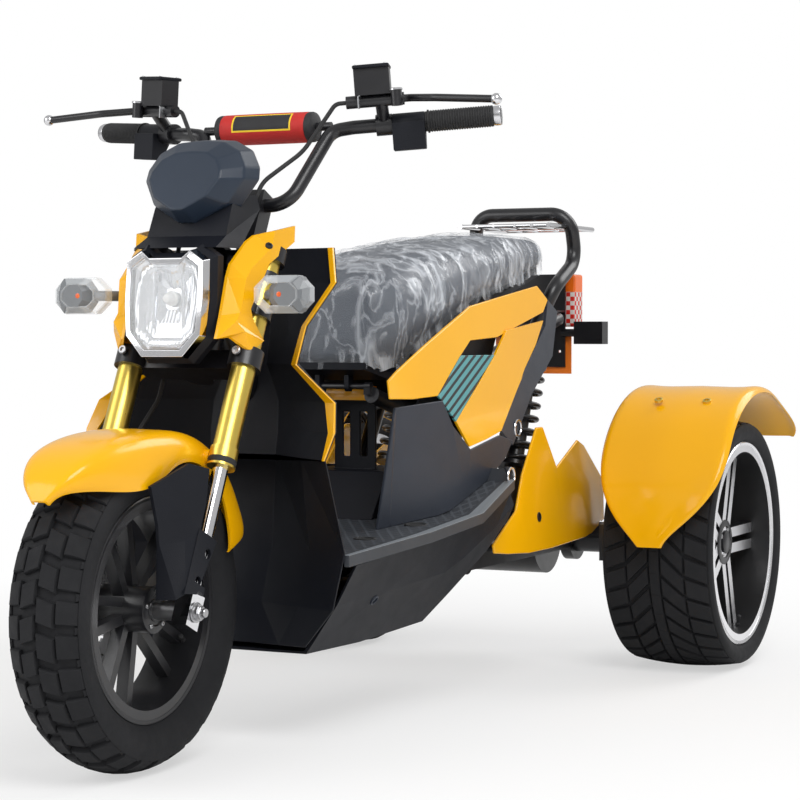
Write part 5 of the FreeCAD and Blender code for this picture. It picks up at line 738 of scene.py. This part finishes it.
def repeat(name, unit, places, finish, body, angle=CREASE):
    """Copies of a unit; each place is its point and its turn as three angles."""
    source = bpy.data.meshes.new(name + "_unit")
    source.from_pydata([tuple(p) for p in unit[0]], [], unit[1])
    holder = added(name + "_unit", source)
    dots = bpy.data.meshes.new(name + "_places")
    dots.from_pydata([tuple(place) for place, _ in places], [], [])
    turns = dots.attributes.new("turn", "FLOAT_VECTOR", "POINT")
    turns.data.foreach_set("vector", [a for _, turn in places for a in turn])
    piece = added(name, dots)
    copies = modifier(piece, "NODES", node_group=REPEAT)
    given = {"Unit": holder, "Size": 1.0, "Finish": FINISHES[finish].material}
    for socket in REPEAT.interface.items_tree:
        if socket.in_out == "INPUT" and socket.name in given:
            copies[socket.identifier] = given[socket.name]
    flatten(piece)
    bpy.data.objects.remove(holder)
    smooth(piece.data, angle)
    return finished(piece, finish, body)


def facing(places):
    """Places for a repeat from (place, direction that its z axis faces)."""
    return [(place, tuple(Vector(way).to_track_quat("Z", "Y").to_euler()))
            for place, way in places]


def both_facing(places):
    """The same, and each place's twin on the right side."""
    return facing(places + [(twin(place), twin(way)) for place, way in places])


def bolt(radius, height):
    """A hexagon head with a small chamfer on a round washer."""
    head = lathe([(radius, 0.8), (radius, height - 0.6), (radius * 0.86, height)], 6)
    ring = lathe([(radius * 1.45, -0.6), (radius * 1.45, 0.7), (radius * 1.2, 1.0)], 16)
    return together(ring, head)


def socket_bolt(radius, height):
    """A round head with a hexagon socket."""
    return lathe([(radius, -0.6), (radius, height - 0.7), (radius * 0.85, height),
                  (radius * 0.52, height), (radius * 0.5, height * 0.35)], 12)


# Panels: a CAD panel with its creases rounded

# CAD corners this near are one, in metres; and the smallest crease that stays sharp, in degrees
CAD_DOUBLES, PANEL_CREASE = 2e-5, 40


def soften(name, width, angle, flat):
    """A copy of a CAD node with its sharp edges rounded over, in millimetres and degrees."""
    mesh = frame["nodes"][name].data.copy()
    tidied(mesh, CAD_DOUBLES, flat)
    for layer in list(mesh.attributes):
        if layer.name == "custom_normal":
            mesh.attributes.remove(layer)
    smooth(mesh, PANEL_CREASE)
    piece = added(name + "_panel", mesh)
    modifier(piece, "BEVEL", width=width / 1000, segments=3, limit_method="ANGLE",
             angle_limit=math.radians(angle), use_clamp_overlap=True, harden_normals=True,
             miter_outer="MITER_ARC")
    finished(piece, NODE_FINISHES.get(name, NODE_SLOTS[name]), NODE_BODIES[name], (name,))


# Wheels

# A tyre's steps round, its radius, and one degree round it, in millimetres
TYRE_STEPS, TYRE_RADIUS, DEGREE_LENGTH = 96, 240, 4.19


def ring_point(radius, y, angle, centre):
    """The place at an angle round a wheel's axle."""
    return Vector((centre.x + radius * math.cos(angle), centre.y + y,
                   centre.z + radius * math.sin(angle)))


def tread_block(corners, crown, height, bevel=1.6):
    """A rubber block from four corners (degrees round, millimetres across) on a crowned tread."""
    middle = Vector((sum(a for a, _ in corners) / 4, sum(y for _, y in corners) / 4))

    def ring(grow, lift):
        points, dense = [], []
        for (a0, y0), (a1, y1) in zip(corners, corners[1:] + corners[:1]):
            dense += [(a0, y0), ((a0 + a1) / 2, (y0 + y1) / 2)]
        for a, y in dense:
            reach = Vector(((a - middle.x) * DEGREE_LENGTH, y - middle.y))
            scale = (reach.length + grow) / reach.length
            angle = math.radians(middle.x + (a - middle.x) * scale)
            across = middle.y + (y - middle.y) * scale
            points.append(ring_point((crown(across) - lift) / 1000, across / 1000, angle,
                                     Vector((0, 0, 0))))
        return points

    return skin([ring(1.6, height + 1.5), ring(0.3, bevel), ring(-bevel * 0.8, 0)])


def slanted(shift, way, near, far, turns):
    """Corners of a block on one side, from near to far across, at four angles from a shift."""
    return [(shift + turn, across * way) for turn, across in zip(turns, (near, far, far, near))]


def crowned(reach, drop):
    """The radius of a tyre's rounded top by the distance from its middle."""
    curve = (reach * reach + drop * drop) / (2 * drop)
    return lambda y: TYRE_RADIUS - (curve - math.sqrt(max(0.0, curve * curve - y * y)))


def make_tyre(name, body, node, centre, half, inside, count, units):
    """A tyre's body, turned from half its profile of (y, radius), under its tread blocks."""
    profile = half + [(-y, r) for y, r in reversed(half) if y] + [(-inside[0], inside[1]), inside]
    rings = []
    for k in range(TYRE_STEPS):
        angle = 2 * math.pi * k / TYRE_STEPS
        rings.append([ring_point(r / 1000, y / 1000, angle, centre) for y, r in profile])
    make(name + "_tyre_body", skin(rings, closed=True), "tyre", body, (node,))
    turns = [(centre, (0, 2 * math.pi * k / count, 0)) for k in range(count)]
    repeat(name + "_tread", together(*units), turns, "tyre", body, angle=38)


def make_front_tyre():
    crown = crowned(56, 20)
    half = [(38, 153), (38, 164), (41, 167), (48, 173), (54.5, 184), (58.5, 196), (59.6, 206),
            (58.5, 214), (57.2, 217), (55, crown(54) - 6.5)]
    half += [(y, crown(y) - 7.5) for y in (44, 30, 15, 0)]
    count = 30
    units = []
    for way, shift in ((1, 0), (-1, 180 / count)):
        inner = slanted(shift, way, 2.0, 27, (1.6, -0.4, 7.8, 9.8))
        outer = slanted(shift, way, 30.5, 56, (1.0, 0.6, 8.6, 9.2))
        units += [tread_block(corners, crown, 8.5) for corners in (inner, outer)]
        lug = slanted(shift, way, 52, 58.4, (8.9, 9.4, 12.0, 12.2))
        units.append(tread_block(lug, lambda y: crown(y) - 3.5, 6.0))
    make_tyre("front", "front_wheel", "front_tyre", Vector((FRONT_AXLE_X, 0, AXLE_HEIGHT)), half,
              (30, 154), count, units)


def make_rear_tyre(side, word):
    body = "rear_wheel_" + word
    crown = crowned(98, 9)
    half = [(94, 182), (94, 193), (97, 196), (101, 199), (103.5, 203), (106.5, 213), (107, 220),
            (105, 226), (102.5, 228.5), (99, crown(98) - 2.5)]
    half += [(y, crown(y) - 6.5) for y in (92, 70, 45, 20, 0)]
    count = 36
    end = 360 / count - 0.1
    units = [tread_block([(0, -9), (0, 9), (end, 9), (end, -9)], crown, 8, 0.8)]
    for way, shift in ((1, 0), (-1, 180 / count)):
        inner = slanted(shift, way, 13, 54, (0, -9.5, -2.0, 7.6))
        outer = slanted(shift, way, 58, 99, (-10.6, -14.6, -6.6, -2.9))
        units += [tread_block(corners, crown, 8) for corners in (inner, outer)]
    make_tyre(body, body, "rear_tyre_" + word,
              Vector((REAR_AXLE_X, REAR_WHEEL_Y * side, AXLE_HEIGHT)), half, (80, 183), count,
              units)


def round_axle(centre, radius, count, way, start=0.0):
    """Places round a wheel's centre, in metres, that face one way."""
    angles = [2 * math.pi * k / count + start for k in range(count)]
    return facing([(centre + Vector((radius * math.cos(a), 0, radius * math.sin(a))), way)
                   for a in angles])


def make_valve(name, profile, centre, radius, degrees, lean, body):
    """A valve's stem on the rim, pointing at the axle and leaning out."""
    angle = math.radians(degrees)
    outwards = Vector((math.cos(angle), 0, math.sin(angle)))
    stem = moved(lathe(profile, 14), centre + outwards * radius, Vector((0, lean, 0)) - outwards)
    make(name, stem, "rubber", body)


def make_front_wheel_details():
    body = "front_wheel"
    centre = Vector((FRONT_AXLE_X, 0, AXLE_HEIGHT))
    left, right = Vector((0, 1, 0)), Vector((0, -1, 0))
    lip = lathe([(160, 0), (166.4, 0), (166.4, 1.2), (164.5, 2.0), (160, 1.0)], 96, caps=False,
                closed=True)
    for word, way in (("left", left), ("right", right)):
        make("front_rim_lip_" + word, moved(lip, centre + way * 0.0415, way), "black_alloy", body)
    cap = lathe([(34.5, -4), (34.5, 1.5), (31, 3.2), (24, 3.6), (22, 1.5), (17, 1.5), (16, 3.5),
                 (11, 3.8)], 48)
    make("front_hub_cap", moved(cap, centre + left * 0.044, left), "black_metal", body)
    repeat("front_hub_bolts", socket_bolt(3.4, 2.6),
           round_axle(centre + left * 0.0472, 0.027, 5, left, 0.3), "steel", body)
    repeat("front_disc_bolts", socket_bolt(4.2, 2.4),
           round_axle(centre + right * 0.0648, 0.050, 5, right), "steel", body)
    stem = [(4.4, -3), (4.4, 4), (3.0, 6), (2.8, 14), (3.9, 14.5), (3.9, 23), (2.6, 24.5)]
    make_valve("front_valve", stem, centre + left * 0.012, 0.147, 205, 0.35, body)


def make_rear_wheel_details(side, word):
    body = "rear_wheel_" + word
    centre = Vector((REAR_AXLE_X, REAR_WHEEL_Y * side, AXLE_HEIGHT))
    face = Vector((0, side, 0))
    lip = lathe([(181, -16), (190, -1.5), (194.6, -0.5), (195.2, 0.8), (193, 2.4), (188, 1.0),
                 (179.5, -14)], 120, caps=False, closed=True)
    make(body + "_lip", moved(lip, centre + face * 0.0975, face), "bright_lip", body)
    dish = lathe([(43, -2), (43, 1.2), (40, 2.6), (31, 2.6), (28, -5), (24, -6.5), (22, 4.5),
                  (19, 6.5), (9, 7.5)], 60)
    make(body + "_cap", moved(dish, centre + face * 0.0605, face), "black_metal", body)
    repeat(body + "_nuts", bolt(4.6, 7.5),
           round_axle(centre + face * 0.0562, 0.0255, 4, face, 0.5), "steel", body)
    stem = [(4.2, -3), (4.2, 3), (2.8, 5), (2.7, 12), (3.8, 12.5), (3.8, 20), (2.5, 21.5)]
    make_valve(body + "_valve", stem, centre + face * 0.07, 0.1745, 252, 0.3 * side, body)


# Seat, its clear film, and the pad on the crossbar

# How far the cover is set in before it is filled out, and the size of its mesh, in metres
COVER_INSET, COVER_MESH = 0.004, 0.008
# The cloth that fills the cushion out: its pressure, its steps and its furthest move, in metres
STUFFING_PRESSURE, STUFFING_FRAMES, STUFFING_REACH = 4, 18, 0.004
# The seat: its start behind the front axle, length, lowest place and height, in metres
SEAT_START, SEAT_LENGTH, SEAT_LOW, SEAT_HEIGHT = 0.632, 0.722, 0.566, 0.262
# Along the seat: (share of its length, share of its height where its pan lies)
SEAT_LOWS = ((0.0, 0.10), (0.06, 0.03), (0.24, 0.24), (0.47, 0.50), (0.73, 0.62), (0.97, 0.76),
             (1.0, 0.80))


def make_seat():
    """The stuffed cushion, blown up a little as cloth."""
    mesh = frame["nodes"]["seat_cushion"].data.copy()
    tidied(mesh, CAD_DOUBLES)
    cushion = added("seat_cover", mesh)
    modifier(cushion, "DISPLACE", strength=-COVER_INSET, mid_level=0)
    modifier(cushion, "REMESH", mode="VOXEL", voxel_size=COVER_MESH)
    modifier(cushion, "SMOOTH", factor=0.5, iterations=6)
    flatten(cushion)
    rest = [v.co.copy() for v in cushion.data.vertices]
    cloth = modifier(cushion, "CLOTH")
    cloth.settings.use_pressure = True
    cloth.settings.uniform_pressure_force = STUFFING_PRESSURE
    cloth.settings.quality = 6
    cloth.settings.effector_weights.gravity = 0
    cloth.collision_settings.use_self_collision = False
    for step in range(1, STUFFING_FRAMES + 1):
        bpy.context.scene.frame_set(step)
    flatten(cushion)
    bpy.context.scene.frame_set(1)
    for vertex, start in zip(cushion.data.vertices, rest):
        away = vertex.co - start
        if away.length > STUFFING_REACH:
            vertex.co = start + away * (STUFFING_REACH / away.length)
    modifier(cushion, "SMOOTH", factor=0.5, iterations=3)
    flatten(cushion)
    for vertex in cushion.data.vertices:
        vertex.co.z = max(vertex.co.z, seat_floor(vertex.co.x) + 0.0012)
    smooth(cushion.data, 60)
    finished(cushion, "seat_leather", "seat", ("seat_cushion",))
    return cushion


def seat_floor(x):
    """The height of the pan under the cushion at this place, in metres."""
    share = min(1.0, max(0.0, (FRONT_AXLE_X - x - SEAT_START) / SEAT_LENGTH))
    for (a, low), (b, high) in zip(SEAT_LOWS, SEAT_LOWS[1:]):
        if share <= b:
            height = low + (high - low) * (share - a) / (b - a)
            return SEAT_LOW + SEAT_HEIGHT * height + 0.0006


def make_film(cushion):
    """The clear wrap: the cushion's top and sides, a little out, with folds and a frayed edge."""
    work = bmesh.new()
    work.from_mesh(cushion.data)
    work.normal_update()

    def left_bare(face):
        middle = face.calc_center_median()
        side = middle.z - seat_floor(middle.x)
        wave = 0.006 * math.sin(middle.x * 55) + 0.004 * math.sin(middle.x * 131 + middle.y * 40)
        return face.normal.z < -0.35 or side < 0.012 + wave

    bmesh.ops.delete(work, geom=[f for f in work.faces if left_bare(f)], context="FACES")
    loose = [v for v in work.verts if not v.link_faces]
    bmesh.ops.delete(work, geom=loose, context="VERTS")
    for vertex in work.verts:
        place = vertex.co
        fold = noise.noise(Vector((place.x * 14, place.y * 22, place.z * 30)))
        fine = noise.noise(Vector((place.x * 60 + 7, place.y * 30, place.z * 70)))
        ridge = 1 - abs(noise.noise(Vector((place.x * 30 + place.y * 8, place.y * 16,
                                            place.z * 9)))) * 2.4
        lift = 0.0026 + 0.0018 * fold + 0.0008 * fine + 0.006 * max(0.0, ridge - 0.35)
        vertex.co = place + vertex.normal * max(0.0008, lift)
    hung = bmesh.ops.extrude_edge_only(work, edges=[e for e in work.edges if e.is_boundary])
    for vertex in (v for v in hung["geom"] if isinstance(v, bmesh.types.BMVert)):
        place = vertex.co
        ragged = noise.noise(Vector((place.x * 38, place.y * 38, 5.0)))
        outward = Vector((0, math.copysign(1, place.y), 0)) * 0.0015
        vertex.co = place + outward - Vector((0, 0, 0.019 + 0.009 * ragged))
    bmesh.ops.subdivide_edges(work, edges=work.edges, cuts=1, use_grid_fill=True)
    mesh = bpy.data.meshes.new("seat_film")
    work.to_mesh(mesh)
    area = sum(face.calc_area() for face in work.faces)
    work.free()
    smooth(mesh, 180)
    film = finished(added("seat_film", mesh), "clear_film", "seat")
    length = 0.86
    area / length


def make_bar_pad():
    """A stuffed roll on the crossbar with a seam near each end."""
    half = [(24.9, 50), (24.7, 76), (23.6, 77.6), (24.5, 79), (24.4, 84), (23.2, 87), (19, 89.5),
            (8, 90)]
    profile = [(r, -y) for r, y in reversed(half)] + [(24.95, 0)] + half
    dense = []
    for (r0, z0), (r1, z1) in zip(profile, profile[1:]):
        parts = max(1, int(abs(z1 - z0) / 6))
        dense += [(r0 + (r1 - r0) * k / parts, z0 + (z1 - z0) * k / parts) for k in range(parts)]
    dense.append(profile[-1])
    pad = make("bar_pad", moved(lathe(dense, 48), Vector((PAD_X, 0, PAD_Z)), (0, 1, 0)),
               "bar_pad", "steering", ("crossbar_pad",), angle=60)


# Lamps and signals

def make_headlamp():
    """The reflector's facets and the bulb behind the clear lens."""
    low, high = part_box("headlamp_lens")
    face, middle = low[0] - 0.003, (low[2] + high[2]) / 2
    half, tall = (high[1] - low[1]) / 2 * 0.93, (high[2] - low[2]) / 2 * 0.93
    side = [(0.45, 1.0), (0.85, 0.86), (1.0, 0.45), (1.0, 0.0), (0.9, -0.72), (0.55, -1.0)]
    outline = ([(0.0, 0.86)] + side + [(0.0, -1.0)] + [(-y, z) for y, z in reversed(side)])
    rings = []
    for depth, scale, lift in ((0.0, 1.0, 0), (-0.010, 0.80, 0.0), (-0.013, 0.52, 0.004),
                               (-0.020, 0.26, 0.008)):
        rings.append([(face + depth - 0.15 * (z * tall * scale + lift), y * half * scale,
                       middle + z * tall * scale + lift) for y, z in reversed(outline)])
    points, faces = skin(rings, caps=False)
    faces.append(tuple(range(len(points) - len(outline), len(points))))
    mirror = make("lamp_reflector", (points, faces), "reflector", "steering", angle=4, solid=False)
    modifier(mirror, "SOLIDIFY", thickness=0.0012, offset=0)
    bulb = lathe([(8, -6), (9, 0), (11.5, 2), (11.5, 6), (9, 8), (8.5, 15), (6.0, 19), (2, 20.5)],
                 20)
    make("lamp_bulb", moved(bulb, Vector((face - 0.019, 0, middle + 0.008)), (1, 0, 0)),
         "bulb_glass", "steering")
    rib = block(2.0, 5.5, 96, 0.6)
    for k, y in enumerate((-0.026, 0.026)):
        make("lamp_reflector_rib_%d" % k,
             moved(rib, Vector((face - 0.006, y, middle - 0.05)), (0, 0, 1)), "reflector",
             "steering")


# The signals' lenses: how far out, half their width and half their height, in metres
SIGNAL_Y, SIGNAL_HALF_WIDTH, SIGNAL_HALF_HEIGHT = 0.177, 0.045, 0.027
SIGNAL_OUTLINE = ((-1.0, -0.38), (-0.58, -1.0), (0.58, -1.0), (1.0, -0.38), (1.0, 0.38),
                  (0.58, 1.0), (-0.58, 1.0), (-1.0, 0.38))


def make_signals():
    """A clear lens round an amber core on each front signal."""
    low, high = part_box("front_signals")
    for side, word in SIDES:
        middle = Vector((high[0], side * SIGNAL_Y, (low[2] + high[2]) / 2))

        def ring(x, scale):
            return [middle + Vector((x, y * scale * SIGNAL_HALF_WIDTH,
                                     z * scale * SIGNAL_HALF_HEIGHT)) for y, z in SIGNAL_OUTLINE]
        shell = skin([ring(-0.026, 1.03), ring(-0.0095, 1.05), ring(0.0008, 0.66),
                      ring(-0.0005, 0.6), ring(-0.0105, 0.97), ring(-0.025, 0.95)], closed=True)
        make("signal_lens_" + word, shell, "lamp_glass", "steering", angle=15)
        core = lathe([(5, -14), (11, -10), (13.5, -3), (9.5, -1.2), (5.5, 0.6), (2.5, 1.0)], 16)
        make("signal_core_" + word, moved(core, middle - Vector((0.0008, 0, 0)), (1, 0, 0)),
             "amber_lens", "steering")


# Controls

BAR_SHOULDER, BAR_END = at(426, 152, 970), at(507, 360, 987)
# Along the bar from its end: the grip, the switch case, half the perch, and the gaps, in metres
GRIP_LENGTH, SWITCH_LENGTH, HALF_PERCH, GAP = 0.108, 0.052, 0.013, 0.0003
# The left mirror's thread
MIRROR_FOOT = Vector((0.30227, 0.23856, 1.01169))
MIRROR_WAY = Vector((0.02756, -0.07076, 0.99711))


def bar_frame():
    """Directions along the left end of the bar, ahead of it and above it."""
    out = (BAR_END - BAR_SHOULDER).normalized()
    ahead = out.cross(Vector((0, 0, 1))).normalized()
    return out, ahead, ahead.cross(out)


def make_controls():
    """Lever ends, reservoir lids, mirror collars, ribs on the grips, bar ends and buttons."""
    out, ahead, up = bar_frame()
    tip = BAR_END + ahead * 0.118 + up * 0.014 + out * 0.010
    ball = lathe([(3, -8.6), (6.6, -6.4), (8.6, -2.6), (9.1, 0), (8.6, 2.8), (6.6, 6.4), (3, 8.7)],
                 20)
    make("lever_balls", both_sides(moved(ball, tip, out)), "chrome", "steering")

    perch = BAR_END - out * (GRIP_LENGTH + SWITCH_LENGTH + HALF_PERCH + 2 * GAP)
    lid_place = perch + ahead * 0.034 + up * 0.086 - out * 0.0112
    across = up.cross(out).normalized()
    turn = Matrix((out, across, up)).transposed().to_4x4()
    points, faces = block(58, 46, 5.5, 2.0)
    lid = [Matrix.Translation(lid_place) @ turn @ Vector(p) for p in points], faces
    make("reservoir_lids", both_sides(lid), "black_plastic", "steering")
    screws = [(lid_place + out * a + across * b + up * 0.0055, up)
              for a in (-0.023, 0.023) for b in (-0.017, 0.017)]
    repeat("reservoir_screws", socket_bolt(2.6, 1.4), both_facing(screws), "steel", "steering")

    collar = lathe([(4.6, 0), (10.4, 0), (10.4, 2.2), (9.4, 3.2), (4.8, 3.2)], 24, caps=False,
                   closed=True)
    make("mirror_collars", both_sides(moved(collar, MIRROR_FOOT + MIRROR_WAY * 0.012, MIRROR_WAY)),
         "bright_lip", "steering")

    ribs = [(12, -1), (18.5, -0.6), (18.5, 2), (16.4, 3)]
    for z in range(4, 100, 4):
        ribs += [(16.2, z), (17.3, z + 0.8), (17.3, z + 2.4), (16.2, z + 3.2)]
    ribs += [(17.0, 101), (16.6, 104), (11.6, 104.4)]
    make("ribbed_grips", both_sides(moved(lathe(ribs, 28), BAR_END - out * 0.104, out)), "rubber",
         "steering", angle=50)
    weight = lathe([(8, -0.5), (15.2, 0.2), (15.8, 3), (15.8, 10), (14, 12.6), (9, 13.4),
                    (5, 12.2)], 28)
    make("bar_end_weights", both_sides(moved(weight, BAR_END + out * 0.0008, out)), "bright_lip",
         "steering")

    case_middle = BAR_END - out * (GRIP_LENGTH + SWITCH_LENGTH / 2)
    rearward = (up - ahead).normalized()
    buttons = [(case_middle + rearward * 0.016 + out * x, rearward) for x in (-0.015, 0, 0.015)]
    button = lathe([(5.4, -1), (5.4, 1.8), (4.6, 2.4), (2, 2.6)], 14)
    repeat("switch_buttons", button, both_facing(buttons), "amber_lens", "steering")


# Fasteners

def make_fasteners():
    """The fork's clamp bolts, caps and seals, and the front axle's nut."""
    fork_up = on_fork(0, 0, 1) - on_fork(0, 0, 0)
    cap = lathe([(18, -2), (18, 2.5), (16, 4), (9, 4), (9, 6.5), (8, 7.2)], 32)
    seal = lathe([(19.4, 0), (21.6, 0.6), (21.9, 9), (20.8, 11), (19.4, 11.4)], 36, caps=False,
                 closed=True)
    for name, unit, place, way, finish, angle in (
            ("clamp_bolts", socket_bolt(7.0, 4.0), on_fork(30.5, 100, 402), (0.905, 0, 0.4258),
             "steel", CREASE),
            ("fork_caps", cap, on_fork(0, 100, 587.5), fork_up, "black_metal", CREASE),
            ("fork_seals", seal, on_fork(0, 100, 228), fork_up, "rubber", 50)):
        repeat(name, unit, both_facing([(place, way)]), finish, "steering", angle)
    nut = together(lathe([(15, -0.5), (15, 1.6), (12, 2.2)], 24),
                   lathe([(10.4, 1), (10.4, 9.6), (9.2, 10.8)], 6),
                   lathe([(6.6, 8), (6.8, 16), (6.0, 17.2)], 20))
    make("axle_nut", moved(nut, on_fork(0, 114.5, 0), (0, 1, 0)), "steel", "steering")


# Small parts of the body

def surface_bolts(name, unit, spots, finish, body="chassis"):
    """A bolt on each side at each (place in millimetres, direction) on the left."""
    places = [(Vector(place) / 1000, Vector(way).normalized()) for place, way in spots]
    repeat(name, unit, both_facing(places), finish, body)


def make_body_details():
    """Bolts, grommets and rings of the frame and body, and the brackets at the levers."""
    surface_bolts("fender_bolts", socket_bolt(8.5, 4.5),
                  [((-572.6, 366.9, 514.7), (0.4, 0, 0.9)),
                   ((-588.9, 456.4, 513.6), (0.4, 0, 0.9))], "gold_metal")
    surface_bolts("wing_bolts", socket_bolt(6.0, 2.4),
                  [((496.1, 117.6, 774.7), (0.59, 0.54, 0.61))], "black_metal", "steering")
    cover = lathe([(9, -1), (9, 1.2), (7.4, 2.0), (6.4, 2.0), (6.2, 0.4), (1, 0.4)], 20)
    surface_bolts("cover_bolts", cover, [((-354.4, 211.7, 304.8), (0, 1, 0.07))], "black_metal")
    drain = lathe([(9, -1), (9, 1.6), (7.6, 2.4), (6.2, 2.2), (6.0, 0.2), (1, 0.2)], 20)
    surface_bolts("drain_rings", drain, [((303.1, 199.6, 220.0), (0.03, 0.82, -0.57))],
                  "grey_plastic")
    points, faces = lathe([(1, 0.3), (9.5, 0.3), (10, 1.4), (12, 1.8), (13.4, 0.8), (13.6, -1)],
                          28)
    oval = [Vector((p.x * 1.5, p.y, p.z)) for p in points], faces
    surface_bolts("floor_grommets", oval, [((273.4, 168.7, 313.2), (0.06, 0, 1)),
                                           ((114.1, 183.5, 324.3), (0.12, 0.1, 0.99))], "rubber")
    rings = []
    for k in range(32):
        turn = 2 * math.pi * k / 32
        centre = Vector((math.cos(turn), 0, math.sin(turn))) * 0.0145
        rings.append([centre * (1 + 0.14 * math.cos(a)) + Vector((0, 0.0022 * math.sin(a), 0))
                      for a in (0, 1.05, 2.09, 3.14, 4.19, 5.24)])
    points, faces = skin(rings, closed=True)
    for name, place in (("frame_rings", (-305.6, 189.8, 470.1)),
                        ("floor_rings", (-168.0, 235, 391))):
        hoop = [p + Vector(place) / 1000 for p in points], faces
        make(name, both_sides(hoop), "chrome", "chassis")
    path = [(-0.024, 0, 0.549), (-0.008, 0, 0.551), (0.002, 0, 0.545), (0.006, 0, 0.534),
            (0.005, 0, 0.527)]
    make("guard_cap", strip(path, (0, 1, 0), (84, 3.2)), "guard_cap", "chassis")
    out, ahead, up = bar_frame()
    corner = Vector((0.3128, 0.1968, 1.0100))
    path = [corner + out * along + up * above for along, above in (
        (-0.018, -0.013), (-0.018, 0.005), (-0.014, 0.008), (0.020, 0.008))]
    make("lever_brackets", both_sides(strip(path, ahead, (12, 2.6))), "silver_plastic",
         "steering")


# Creases below this many degrees are flat
CURVED_FLATNESS, PLAIN_FLATNESS = 0.2, 1.0
# Panels with rounded creases: (node, rounding in millimetres, smallest crease in degrees)
PANELS = [
    ("leg_shield", 3.0, 14), ("leg_shield_trim", 1.0, 20), ("shield_rear_cover", 4.0, 12),
    ("front_apron", 4.0, 12), ("belly_pan", 5.0, 14), ("centre_tunnel", 2.5, 20),
    ("side_panels", 3.0, 14), ("upper_side_strips", 2.5, 14), ("vee_panels", 2.5, 14),
    ("side_grilles", 1.5, 20), ("side_inner_panels", 2.0, 20), ("tail_side_frames", 2.5, 14),
    ("axle_covers", 2.5, 25), ("seat_tub", 3.0, 25), ("tail_lamp", 5.0, 25),
    ("number_plate", 1.0, 40), ("floorboard", 3.0, 20), ("headlamp_bezel", 1.4, 16),
    ("headlamp_cowl", 2.0, 16), ("instrument_cowl", 3.0, 12), ("cowl_wings", 1.2, 14),
    ("fork_shrouds", 1.2, 22), ("front_signals", 2.0, 16), ("lamp_brackets", 0.8, 40),
    ("switch_boxes", 3.0, 35), ("brake_levers", 1.6, 35),
    ("tail_bracket", 1.0, 40), ("battery", 4.0, 40), ("front_fender", 1.2, 35),
    ("rear_fenders", 1.2, 35),
]


make_camera()
make_finishes()
make_light()
make_floor()
dress_nodes()
REPEAT = make_repeat_tree()

make_front_tyre()
make_front_wheel_details()
for wheel_side in SIDES:
    make_rear_tyre(*wheel_side)
    make_rear_wheel_details(*wheel_side)
for panel, rounding, crease in PANELS:
    soften(panel, rounding, crease, CURVED_FLATNESS if "fender" in panel else PLAIN_FLATNESS)
make_film(make_seat())
make_bar_pad()
make_headlamp()
make_signals()
make_controls()
make_fasteners()
make_body_details()
